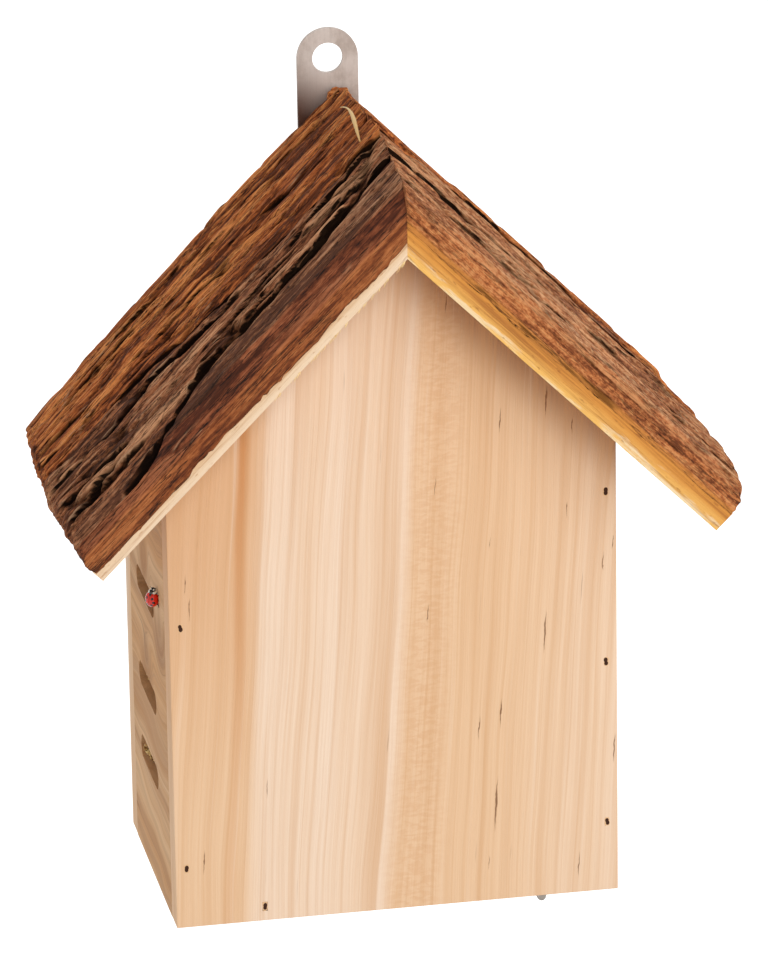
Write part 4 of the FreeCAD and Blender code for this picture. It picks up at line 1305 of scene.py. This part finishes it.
def wool_piece(material):
    rng = np.random.default_rng(WOOL_SEED)
    heap = Heap()
    wool_core(heap)
    share = rng.random((WOOL_RIBBONS, 3))
    kind = rng.random(WOOL_RIBBONS)
    side = np.where(rng.random(WOOL_RIBBONS) < 0.5, *AT_WALLS)
    share[:, 0] = np.where(kind < WALL_SHARE, side, share[:, 0])
    share[:, 2] = np.where(kind > 1 - BASE_SHARE, AT_BASE, share[:, 2])
    centres = WOOL_LOW + share * (WOOL_HIGH - WOOL_LOW)
    paths, axes = curls(rng, centres, *WOOL_CURLS)
    slack = rng.uniform(0, WOOL_SLACK, (WOOL_RIBBONS, 1, 1))
    paths = np.clip(paths, WOOL_LOW + WOOL_INSIDE + slack, WOOL_HIGH - WOOL_INSIDE - slack)
    add_ribbons(heap, rng, paths, axes, rng.uniform(*WOOL_WIDE, WOOL_RIBBONS))
    heap.piece("wood_wool_tangle", material, "wood_wool", ["wood_wool"], mark="ribbon")


# Strands that reach into the slots, at their back ends: y and z of each tuft
TUFTS = ((60.5, 64.5), (61.0, 38.5), (57.0, 37.0), (57.5, 66.2))
TUFT_SEED = 43
TUFT_RIBBONS = 7
TUFT_DEEP = 0.62
TUFT_SPREAD = (1.2, 1.0, 0.6)
TUFT_CURLS = ((1.0, 2.6), (0.6, 1.6), (1, 5))
TUFT_WIDE = (0.6, 1.1)

# The room that a tuft keeps to, from the wall's face and from its own place
TUFT_LOW = (0.4, -8, -3)
TUFT_HIGH = (WALL + 2, 4, 3)


def tuft_piece(material):
    rng = np.random.default_rng(TUFT_SEED)
    heap = Heap()
    for y, z in TUFTS:
        face = np.array([-HALF_WIDTH, y, z])
        spread = rng.normal(size=(TUFT_RIBBONS, 3)) * TUFT_SPREAD
        centres = np.array([-HALF_WIDTH + TUFT_DEEP * WALL, y, z]) + spread
        paths, axes = curls(rng, centres, *TUFT_CURLS)
        paths = np.clip(paths, face + TUFT_LOW, face + TUFT_HIGH)
        add_ribbons(heap, rng, paths, axes, rng.uniform(*TUFT_WIDE, TUFT_RIBBONS))
    heap.piece("wood_wool_tufts", material, "wood_wool", mark="ribbon")


# The ladybug on the left wall: head up, leaning off the wall so that its back is turned to the front

BUG_MIDDLE = np.array([-HALF_WIDTH - 1.7, 21.9, 105.4])
BUG_LEAN = math.radians(48)
BUG_TURN = math.radians(-7)
BUG_HALF_LENGTH = 2.75
BUG_HALF_WIDTH = 2.35
BUG_RISE = 2.1
BUG_BELLY = 0.7
BUG_SPOTS = ((0.0, 1.9), (1.0, 0.75), (-1.0, 0.75), (1.5, -0.5), (-1.5, -0.5), (0.8, -1.6), (-0.8, -1.6))
BUG_SPOT = 0.42
SPOT_EDGE = 0.12
SEAM_HALF = 0.13
SEAM_DEPTH = 0.05
BUG_NECK = 2.3

# Its neck shield and its head: half width, half length, rise and belly
BUG_SHIELD = (1.6, 0.95, 1.3, 0.6)
BUG_HEAD = (0.85, 0.65, 0.8, 0.5)
HEAD_PLACE = (0, BUG_NECK + 1.0, -0.1)

# The pale marks on both: how far aside and ahead they lie, and their outer and inner edge
SHIELD_MARKS = (1.05, 0.3, 0.55, 0.3)
HEAD_MARKS = (0.5, 0.1, 0.28, 0.16)

# Its legs on each side, as the place of the root and how far up the foot is set; and radii
BUG_LEGS = ((1.3, 0.9), (0.0, 0.0), (-1.3, -0.9))
LEG_ROOT = 0.8
LEG_SPREAD = 1.3
KNEE = (0.5, 0.25)
LEG_RADII = (0.18, 0.1)
FEELER_RADII = (0.07, 0.1)
LIMB_STEPS = 8
LIMB_SIDES = 6


def on_bug(local):
    """Points sideways, headwards and out of the ladybug's back, to house coordinates."""
    turned = local.copy()
    turned[:, 0] = local[:, 0] * math.cos(BUG_TURN) - local[:, 1] * math.sin(BUG_TURN)
    turned[:, 1] = local[:, 0] * math.sin(BUG_TURN) + local[:, 1] * math.cos(BUG_TURN)
    sideways = (math.sin(BUG_LEAN), -math.cos(BUG_LEAN), 0)
    outwards = (-math.cos(BUG_LEAN), -math.sin(BUG_LEAN), 0)
    return BUG_MIDDLE + turned @ np.array([sideways, (0, 0, 1), outwards])


def bug_body(half_width, half_length, rise, belly, rings, sides):
    """A ball with a domed back and a flatter belly."""
    points, faces = ball(rings, sides)
    depth = np.where(points[:, 2] > 0, rise, belly)
    halves = np.broadcast_arrays(half_width, half_length, depth)
    return points * np.stack(halves, axis=-1), faces


def twin_marks(points, aside, ahead, outer, inner):
    """A round mark on each side of the ladybug."""
    return smooth(np.hypot(np.abs(points[:, 0]) - aside, points[:, 1] - ahead), outer, inner)


def bug_wings(material):
    points, faces = bug_body(BUG_HALF_WIDTH, BUG_HALF_LENGTH, BUG_RISE, BUG_BELLY, 48, 72)
    seam = np.exp(-((points[:, 0] / SEAM_HALF) ** 2)) * (points[:, 2] > 0)
    spots = smooth(points[:, 2], -0.1, -0.3)
    for aside, ahead in BUG_SPOTS:
        reach = np.hypot(points[:, 0] - aside, points[:, 1] - ahead)
        spots = np.maximum(spots, smooth(reach, BUG_SPOT + SPOT_EDGE, BUG_SPOT - SPOT_EDGE))
    points[:, 2] = points[:, 2] * (1 - SEAM_DEPTH * seam)
    heap = Heap()
    heap.add(on_bug(points), faces, mark=np.maximum(spots, 0.7 * smooth(seam, 0.5, 0.95)))
    heap.piece("ladybug_wings", material, "shell_red", ["ladybug_shell"])


def bug_front(material):
    heap = Heap()
    points, faces = bug_body(*BUG_SHIELD, 28, 40)
    heap.add(on_bug(points + (0, BUG_NECK, 0)), faces, mark=twin_marks(points, *SHIELD_MARKS))
    points, faces = bug_body(*BUG_HEAD, 24, 32)
    heap.add(on_bug(points + HEAD_PLACE), faces, mark=twin_marks(points, *HEAD_MARKS))
    bend = np.linspace(0, 1, LIMB_STEPS)
    for sign in (-1, 1):
        ahead = BUG_NECK + 1.4 + 0.55 * bend - 0.25 * bend**2
        feeler = np.stack([sign * (0.35 + 0.7 * bend), ahead, 0.2 + 0.2 * bend], axis=-1)
        heap.tube(on_bug(feeler), FEELER_RADII, LIMB_SIDES)
        knee = np.array([0, -sign * KNEE[0], KNEE[1]]) * np.sin(math.pi * bend)[:, None]
        for root, slant in BUG_LEGS:
            start = on_bug(np.array([[sign * BUG_HALF_WIDTH * LEG_ROOT, root, -0.2]]))[0]
            foot = np.array([-HALF_WIDTH, start[1] - sign * LEG_SPREAD, start[2] + slant])
            heap.tube(start + (foot - start) * bend[:, None] + knee, LEG_RADII, LIMB_SIDES)
    heap.piece("ladybug_front", material, "head_black", ["ladybug_head"])


# Brads: a torn plug with dark ends in it over each, painted as the brad's steel and the shade of its hole, on
# a thin shank

BRAD_HALF_WIDTH = 0.8
BRAD_HALF_HEIGHT = 1.4
BRAD_SUNK = 0.12
BRAD_PROUD = 0.3
BRAD_SHANK = 0.5
BRAD_TIP = 0.2
BRAD_APART = 5.0

# How torn a plug's edge is and how often, and the two dark ends in it: places, and outer and inner edge
PLUG_TORN = 0.3
PLUG_WAVES = 2.1
END_ASIDE = (-0.2, 0.2)
END_AWAY = (0.35, 0.65)
END_OUTER = (0.7, 0.95)
END_INNER = 0.35
END_LONG = 0.8


def brad_groups(node):
    """The vertices of each brad of a node."""
    groups = []
    for point in house_points(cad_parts[node].data):
        near = [group for group in groups if math.hypot(*(point - group[0])[[0, 2]]) < BRAD_APART]
        if near:
            near[0].append(point)
        else:
            groups.append([point])
    return [np.array(group) for group in groups]


def brad_heads(name, node, material):
    """A torn plug over each brad of a node, with dark ends in it, and the brad's shank."""
    rng = np.random.default_rng(len(name))
    heap = Heap()
    for group in brad_groups(node):
        x, _, z = (group.min(axis=0) + group.max(axis=0)) / 2
        for face, outward in ((0.0, -1), (DEPTH, 1)):
            depths = group[np.abs(group[:, 1] - face) < DEPTH / 2, 1]
            if not len(depths):
                continue
            points, faces = dome((BRAD_HALF_WIDTH, BRAD_HALF_HEIGHT, BRAD_PROUD), 10, 48)
            angle = np.arctan2(points[:, 1] / BRAD_HALF_HEIGHT, points[:, 0] / BRAD_HALF_WIDTH)
            square = (np.cos(angle) ** 4 + np.sin(angle) ** 4) ** -0.25
            first = PLUG_WAVES * np.cos(angle) + NOISE_START
            second = PLUG_WAVES * np.sin(angle) + NOISE_START
            torn = square + PLUG_TORN * noise(first, second, int(rng.integers(1000)))
            local = points * np.stack([torn, torn, np.ones_like(torn)], axis=-1)
            mark = np.zeros(len(local))
            for end in (-1, 1):
                middle = rng.uniform(*END_ASIDE), end * rng.uniform(*END_AWAY)
                reach = np.hypot(local[:, 0] - middle[0], (local[:, 1] - middle[1]) * END_LONG)
                mark = np.maximum(mark, smooth(reach, rng.uniform(*END_OUTER), END_INNER))
            shape = [x + local[:, 0], face + outward * (local[:, 2] - BRAD_SUNK), z + local[:, 1]]
            heap.add(np.stack(shape, axis=-1), faces, mark=mark)
            far = depths[np.argmax(np.abs(depths - face))]
            shank = np.stack(np.broadcast_arrays(x, np.linspace(face, far, 6), z), axis=-1)
            heap.tube(shank, (BRAD_SHANK, BRAD_TIP), sides=10, mark=1.0)
    heap.piece(name, material, "wire_steel", [node])


# Loose splinters on the sawn lower edge of the left slab, and one at the top of the panel

SPLINTERS = 70
SPLINTER_SEED = 53
SPLINTER_REACH = 58.0
SPLINTER_POWER = 1.6
SPLINTER_RADII = (0.16, 0.05)
LOOSE_SPLINTER = ((7.2, -0.3, 221.0), (8.3, -0.9, 220.9), (9.6, -1.1, 220.2))
LOOSE_RADII = (0.28, 0.1)


def splinter_piece(material):
    rng = np.random.default_rng(SPLINTER_SEED)
    heap = Heap()
    bend = np.linspace(0, 1, 5)[:, None]
    for along in SPLINTER_REACH * rng.random(SPLINTERS) ** SPLINTER_POWER:
        root = np.stack(slab_house(LEFT, along, ROOF_FRONT + rng.uniform(0, 1.2), 0.15))
        tip = np.stack(slab_house(LEFT, along + rng.uniform(0.5, 2.6), ROOF_FRONT - rng.uniform(0, 0.6), 0.0))
        sag = np.array([0, 0, -rng.uniform(0.2, 1.0)])
        heap.tube(root + (tip - root) * bend + sag * bend**2, SPLINTER_RADII, sides=5)
    heap.tube(LOOSE_SPLINTER, LOOSE_RADII, sides=6)
    heap.piece("edge_splinters", material, "slab_wood", mark="ribbon")


# The knob of bark where the two slabs meet at the back of the ridge

KNOB_MIDDLE = np.array([1.0, 84.0, 247.6])
KNOB_HALF = np.array([3.8, 4.6, 3.6])
KNOB_LUMPS = 0.22
KNOB_CELLS = (2.4, 2.4, 1.7)
KNOB_SEED = 81
KNOB_RIDGES = 0.07
RIDGE_CELLS = (9, 0, 9)
RIDGE_SEED = 82

# How much the knob's colour changes with its swell, and the swell that has the middle tone
KNOB_TINT = 2
KNOB_PALE = 1.1


def knob_piece(material):
    points, faces = ball(40, 56)
    lumps = KNOB_LUMPS * lumpy(points, KNOB_CELLS, KNOB_SEED)
    ridges = KNOB_RIDGES * lumpy(points, RIDGE_CELLS, RIDGE_SEED)
    swell = 1 + lumps + ridges
    shape = KNOB_MIDDLE + points * KNOB_HALF * swell[:, None]
    mesh = new_mesh("ridge_knob", place(*shape.T), faces, shape, tint=KNOB_TINT * (swell - KNOB_PALE))
    add_piece("ridge_knob", mesh, material, "bark")


# Hanger screws with a domed head and a cross recess

SCREW_HEAD = 3.2
SCREW_DOME = 1.6
SCREW_SHANK = 1.5
SCREW_RECESS = 1.9
RECESS_HALF = 0.42
RECESS_DEPTH = 0.8
SCREW_TURNS = (0.4, 1.1)
SCREW_TIP = 0.3


def screw_piece(material):
    low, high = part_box("hanger_screws")
    x = (low[0] + high[0] - 2 * ORIGIN[0]) / 2 / MM
    tip_y, head_y = (low[1] - ORIGIN[1]) / MM, (high[1] - ORIGIN[1]) / MM - SCREW_DOME
    heights = ((low[2] - ORIGIN[2]) / MM + SCREW_HEAD, (high[2] - ORIGIN[2]) / MM - SCREW_HEAD)
    heap = Heap()
    for z, turn in zip(heights, SCREW_TURNS):
        points, faces = dome((SCREW_HEAD, SCREW_HEAD, SCREW_DOME), 24, 96)
        first = points[:, 0] * math.cos(turn) + points[:, 1] * math.sin(turn)
        second = points[:, 1] * math.cos(turn) - points[:, 0] * math.sin(turn)
        cross = np.minimum(np.abs(first), np.abs(second)) < RECESS_HALF
        inside = np.hypot(first, second) < SCREW_RECESS
        points[:, 2] -= RECESS_DEPTH * (cross & inside)
        heap.add(np.stack([x + points[:, 0], head_y + points[:, 2], z + points[:, 1]], axis=-1), faces)
        shank = np.stack(np.broadcast_arrays(x, np.linspace(head_y, tip_y, 12), z), axis=-1)
        heap.tube(shank, (SCREW_SHANK, SCREW_TIP), sides=20)
    heap.piece("hanger_screw_heads", material, "wire_steel", ["hanger_screws"])


# The loose shred of bast at the ridge: places on the left slab, along, y and above

BAST_PLACES = np.array(((-13.4, 53, 20.2), (-15.6, 42, 21.2), (-14.9, 29.9, 21.4), (-12.9, 16.2, 20.7)))
BAST_WIDTH = 0.9
BAST_THICK = 0.4
BAST_STEPS = 24
BAST_TILT = 0.35
BAST_SEED = 10


def bast_piece(material):
    """A curled shred, pointed at both ends."""
    rng = np.random.default_rng(BAST_SEED)
    count = len(BAST_PLACES)
    steps = np.linspace(0, count - 1, BAST_STEPS)
    curves = np.polyfit(np.arange(count), BAST_PLACES, count - 1)
    path = np.stack([np.polyval(curve, steps) for curve in curves.T], axis=-1)
    share = np.linspace(0, 1, BAST_STEPS)
    swell = 0.25 + np.sin(math.pi * np.clip(share, 0.04, 0.97) ** 1.6)
    half = BAST_WIDTH / 2 * swell * rng.uniform(0.85, 1.1, BAST_STEPS)
    lift = np.array([0, 0, BAST_THICK])
    aside = np.stack([half, np.zeros_like(half), BAST_TILT * half], axis=-1)
    right, left = path + aside, path - aside
    points = np.stack([right, left, left - lift, right - lift], axis=1).reshape(-1, 3)
    places = slab_place(LEFT, *points.T)
    shades = np.repeat(share, 4)
    mesh = new_mesh("bast_shred", places, bar_faces(BAST_STEPS, 4), points[:, [1, 0, 2]], ribbon=shades)
    add_piece("bast_shred", mesh, material, "slab_wood")


# The materials

PANEL_PALE = srgb(243, 218, 194)
PANEL_DEEP = srgb(233, 194, 154)
PANEL_LINE = srgb(208, 158, 110)
WALL_PALE = srgb(233, 193, 147)
WALL_DEEP = srgb(214, 162, 108)
WALL_LINE = srgb(158, 106, 62)
PANEL_SWIRL = (5, 16, 0.012)
WALL_SWIRL = (13, 26, 0.024)

# Knots in the side walls: y, z and x
WALL_KNOTS = ((20, 91, -72), (50, 106, -72), (49, 72, -72), (34, 30, 72), (60, 84, 72))

front_wood = wood("front_wood", PANEL_PALE, PANEL_DEEP, PANEL_LINE, (0.0, 0.0, 0.0), PANEL_SWIRL, zones=True)
back_wood = wood("back_wood", PANEL_PALE, PANEL_DEEP, PANEL_LINE, (0.4, 0.3, 0.0), PANEL_SWIRL)
wall_wood = wood("wall_wood", WALL_PALE, WALL_DEEP, WALL_LINE, (0.8, 0.1, 0.2), WALL_SWIRL, WALL_KNOTS)
floor_wood = wood("floor_wood", PANEL_PALE, WALL_DEEP, PANEL_LINE, (1.2, 0.6, 0.1), PANEL_SWIRL)
STRIP_PALE = srgb(238, 210, 178)
STRIP_DEEP = srgb(222, 180, 134)
STRIP_LINE = srgb(186, 134, 88)
BAND_LOW = srgb(240, 186, 100)
BAND_HIGH = srgb(214, 142, 60)
BAND_LINE = srgb(150, 88, 38)
BAND_CREAM = srgb(246, 222, 180)
left_slab_wood = slab_wood("left_slab_wood", STRIP_PALE, STRIP_DEEP, STRIP_LINE, STRIP_PALE)
right_slab_wood = slab_wood("right_slab_wood", BAND_LOW, BAND_HIGH, BAND_LINE, BAND_CREAM)

BACK_TONES = (srgb(101, 48, 19), srgb(187, 101, 49), srgb(229, 146, 80))
PLATE_TONES = (srgb(82, 46, 28), srgb(162, 99, 63), srgb(208, 150, 108))
FRONT_TONES = (srgb(94, 55, 36), srgb(150, 96, 64), srgb(188, 137, 102))
BEVEL_TONES = (srgb(84, 40, 23), srgb(134, 71, 42), srgb(168, 100, 64))
LEFT_SAWN = (srgb(108, 53, 26), srgb(150, 83, 43), srgb(182, 111, 63))
RIGHT_FRONT = (srgb(138, 80, 49), srgb(194, 124, 79), srgb(224, 167, 120))
RIGHT_BEVEL = (srgb(128, 67, 37), srgb(184, 110, 65), srgb(212, 145, 94))
RIGHT_SAWN = (srgb(130, 69, 36), srgb(188, 111, 62), srgb(214, 144, 88))
SAPWOOD = srgb(206, 134, 62)

PLATE_BRIGHT = srgb(208, 195, 186)
PLATE_DULL = srgb(176, 160, 149)
# The brown of the painted reflection of the bark on the hanger
PLATE_BARK_REFLECTION = srgb(82, 42, 20)

left_tones = (BACK_TONES, PLATE_TONES, FRONT_TONES, BEVEL_TONES, LEFT_SAWN)
right_tones = (BACK_TONES, RIGHT_FRONT, RIGHT_FRONT, RIGHT_BEVEL, RIGHT_SAWN)
left_bark = bark("left_bark", *left_tones, cracked=1.0, streaky=1.0, crumbly=0.65, crumb=240)
right_bark = bark("right_bark", *right_tones, cracked=0.7, streaky=0.6, crumbly=1.1, crumb=420, sap=SAPWOOD)
plate_steel = steel("plate_steel", PLATE_BRIGHT, PLATE_DULL, 0.5, metal=0.3, bark_reflection=PLATE_BARK_REFLECTION)
wire_steel = steel("wire_steel", srgb(150, 142, 134), srgb(92, 82, 74), 0.42)
# The dark of the brads' ends: their steel with painted shade of their sunk holes
brad_mark = torn_wood("brad_mark", srgb(224, 182, 138), srgb(58, 32, 18))
wool_wood = wool("wool_wood", srgb(232, 200, 132), srgb(178, 130, 72))
bug_red = lacquer("bug_red", srgb(222, 34, 6), srgb(22, 14, 12))
bug_black = lacquer("bug_black", srgb(20, 16, 15), srgb(236, 230, 216))
bast = wool("bast", srgb(248, 218, 160), srgb(220, 176, 112))

# The pieces

left_grain = slab_grain(LEFT)
right_grain = slab_grain(RIGHT)
BOARD_EASE = (0.4, 6)
PLATE_EASE = (0.25, 0.5)
WIRE_EASE = (0.2, 0.1)
NAIL_EASE = (0.1, 0.2)
for node, name, material, slot, grain_of, ease, body in (
    ("front_panel", "front_panel_board", front_wood, "panel_wood", upright_grain, BOARD_EASE, BODY),
    ("back_panel", "back_panel_board", back_wood, "panel_wood", upright_grain, BOARD_EASE, BODY),
    ("left_wall", "left_wall_board", wall_wood, "panel_wood", deep_grain, BOARD_EASE, BODY),
    ("right_wall", "right_wall_board", wall_wood, "panel_wood", deep_grain, BOARD_EASE, BODY),
    ("floor_flap", "floor_flap_board", floor_wood, "panel_wood", level_grain, BOARD_EASE, "floor"),
    ("left_roof_board", "left_slab_board", left_slab_wood, "slab_wood", left_grain, BOARD_EASE, BODY),
    ("right_roof_board", "right_slab_board", right_slab_wood, "slab_wood", right_grain, BOARD_EASE, BODY),
    ("hanger_plate", "hanger_strip", plate_steel, "plate_steel", upright_grain, PLATE_EASE, BODY),
    ("latch_hook", "latch_wire", wire_steel, "wire_steel", deep_grain, WIRE_EASE, "latch"),
    ("left_roof_nails", "left_roof_nails_set", wire_steel, "wire_steel", upright_grain, NAIL_EASE, BODY),
    ("right_roof_nails", "right_roof_nails_set", wire_steel, "wire_steel", upright_grain, NAIL_EASE, BODY),
):
    dressed_copy(node, name, material, slot, grain_of, ease, body)

bark_piece("left_slab_bark", "left_roof_bark", LEFT_SLAB, left_bark)
bark_piece("right_slab_bark", "right_roof_bark", RIGHT_SLAB, right_bark)
wool_piece(wool_wood)
tuft_piece(wool_wood)
bug_wings(bug_red)
bug_front(bug_black)
screw_piece(wire_steel)
bast_piece(bast)
splinter_piece(bast)
knob_piece(left_bark)
for heads, brad_node in (
    ("front_brad_heads", "front_brads"),
    ("back_brad_heads", "back_brads"),
    ("pivot_brad_heads", "floor_pivot_brads"),
):
    brad_heads(heads, brad_node, brad_mark)

# Camera, light and floor

CAMERA_AZIMUTH = 10.563
CAMERA_ELEVATION = 20.071
CAMERA_ROLL = -0.943
CAMERA_PLACE = (-397.68, -2118.92, 935.32)
CAMERA_LENS = 273.23
CAMERA_SENSOR = 36
CAMERA_FAR = 20


def add_camera():
    azimuth = math.radians(CAMERA_AZIMUTH)
    elevation = math.radians(CAMERA_ELEVATION)
    roll = math.radians(CAMERA_ROLL)
    flat = math.cos(elevation)
    forward = Vector((flat * math.sin(azimuth), flat * math.cos(azimuth), -math.sin(elevation)))
    level = Vector((math.cos(azimuth), -math.sin(azimuth), 0))
    upright = level.cross(forward)
    right = level * math.cos(roll) + upright * math.sin(roll)
    up = right.cross(forward)
    data = bpy.data.cameras.new("camera")
    data.lens = CAMERA_LENS
    data.sensor_width = CAMERA_SENSOR
    data.clip_end = CAMERA_FAR
    camera = bpy.data.objects.new("camera", data)
    turn = Matrix((right, up, -forward)).transposed().to_4x4()
    camera.matrix_world = Matrix.Translation(Vector(place(*CAMERA_PLACE))) @ turn
    bpy.context.scene.collection.objects.link(camera)
    bpy.context.scene.camera = camera


def add_lamp(name, from_place, towards, span, power, colour):
    """A square area lamp at a place, aimed at another."""
    data = bpy.data.lights.new(name, "AREA")
    data.shape = "SQUARE"
    data.size = span * MM
    data.energy = power
    data.color = colour
    lamp = bpy.data.objects.new(name, data)
    start = Vector(place(*from_place))
    aim = Vector(place(*towards)) - start
    lamp.matrix_world = Matrix.Translation(start) @ aim.to_track_quat("-Z", "Y").to_matrix().to_4x4()
    bpy.context.scene.collection.objects.link(lamp)


def seen_directly(shader):
    """1 for rays from the camera, a mirror or through glass, 0 for diffuse light."""
    path = shader.add("ShaderNodeLightPath", {})
    glossy = shader.math("MAXIMUM", path.outputs["Is Camera Ray"], path.outputs["Is Glossy Ray"])
    return shader.math("MAXIMUM", glossy, path.outputs["Is Transmission Ray"])


AMBIENT = 0.73
WHITE = (1, 1, 1, 1)
FLOOR_ALBEDO = (0.8, 0.8, 0.8, 1)
FLOOR_SPAN = 6.0
FLOOR_GLOW = 0.72


class WorldShader(Shader):
    """The same helper on the world's tree."""

    def __init__(self):
        world = bpy.data.worlds.new("world")
        bpy.context.scene.world = world
        world.use_nodes = True
        self.tree = world.node_tree
        self.tree.nodes.clear()


def add_world():
    shader = WorldShader()
    plain = shader.add("ShaderNodeBackground", {"Color": WHITE, "Strength": AMBIENT})
    white = shader.add("ShaderNodeBackground", {"Color": WHITE, "Strength": 1.0})
    inputs = {0: seen_directly(shader), 1: plain.outputs[0], 2: white.outputs[0]}
    both = shader.add("ShaderNodeMixShader", inputs)
    shader.add("ShaderNodeOutputWorld", {"Surface": both.outputs[0]})


def add_floor():
    """A white floor below the reach of the open flap: it takes the house's shadow and is white all round
    it. From below it is clear, so that the house's underside shows."""
    shader = Shader("floor_white")
    diffuse = shader.add("ShaderNodeBsdfDiffuse", {"Color": FLOOR_ALBEDO})
    glow = shader.add("ShaderNodeEmission", {"Color": WHITE, "Strength": FLOOR_GLOW})
    both = shader.add("ShaderNodeAddShader", {0: diffuse.outputs[0], 1: glow.outputs[0]})
    seen = seen_directly(shader)
    top = shader.add("ShaderNodeMixShader", {0: seen, 1: diffuse.outputs[0], 2: both.outputs[0]})
    clear = shader.add("ShaderNodeBsdfTransparent", {"Color": WHITE})
    below = shader.add("ShaderNodeNewGeometry", {}).outputs["Backfacing"]
    surface = shader.add("ShaderNodeMixShader", {0: below, 1: top.outputs[0], 2: clear.outputs[0]})
    shader.add("ShaderNodeOutputMaterial", {"Surface": surface.outputs[0]})
    level = panel_low[2] - FLAP_REACH * MM
    half = FLOOR_SPAN / 2
    corners = [(-half, -half, level), (half, -half, level), (half, half, level), (-half, half, level)]
    mesh = bpy.data.meshes.new("floor_white")
    mesh.from_pydata(corners, [], [(0, 1, 2, 3)])
    mesh.materials.append(shader.material)
    floor = bpy.data.objects.new("floor_white", mesh)
    bpy.context.scene.collection.objects.link(floor)


HOUSE_MIDDLE = (0, 20, 130)
KEY_PLACE = (480, -1450, 850)
KEY_SPAN = 1300
KEY_POWER = 13.0
KEY_COLOUR = (1, 0.99, 0.98)
add_camera()
add_lamp("key", KEY_PLACE, HOUSE_MIDDLE, KEY_SPAN, KEY_POWER, KEY_COLOUR)
add_world()
add_floor()
bpy.context.scene.view_settings.view_transform = "Standard"
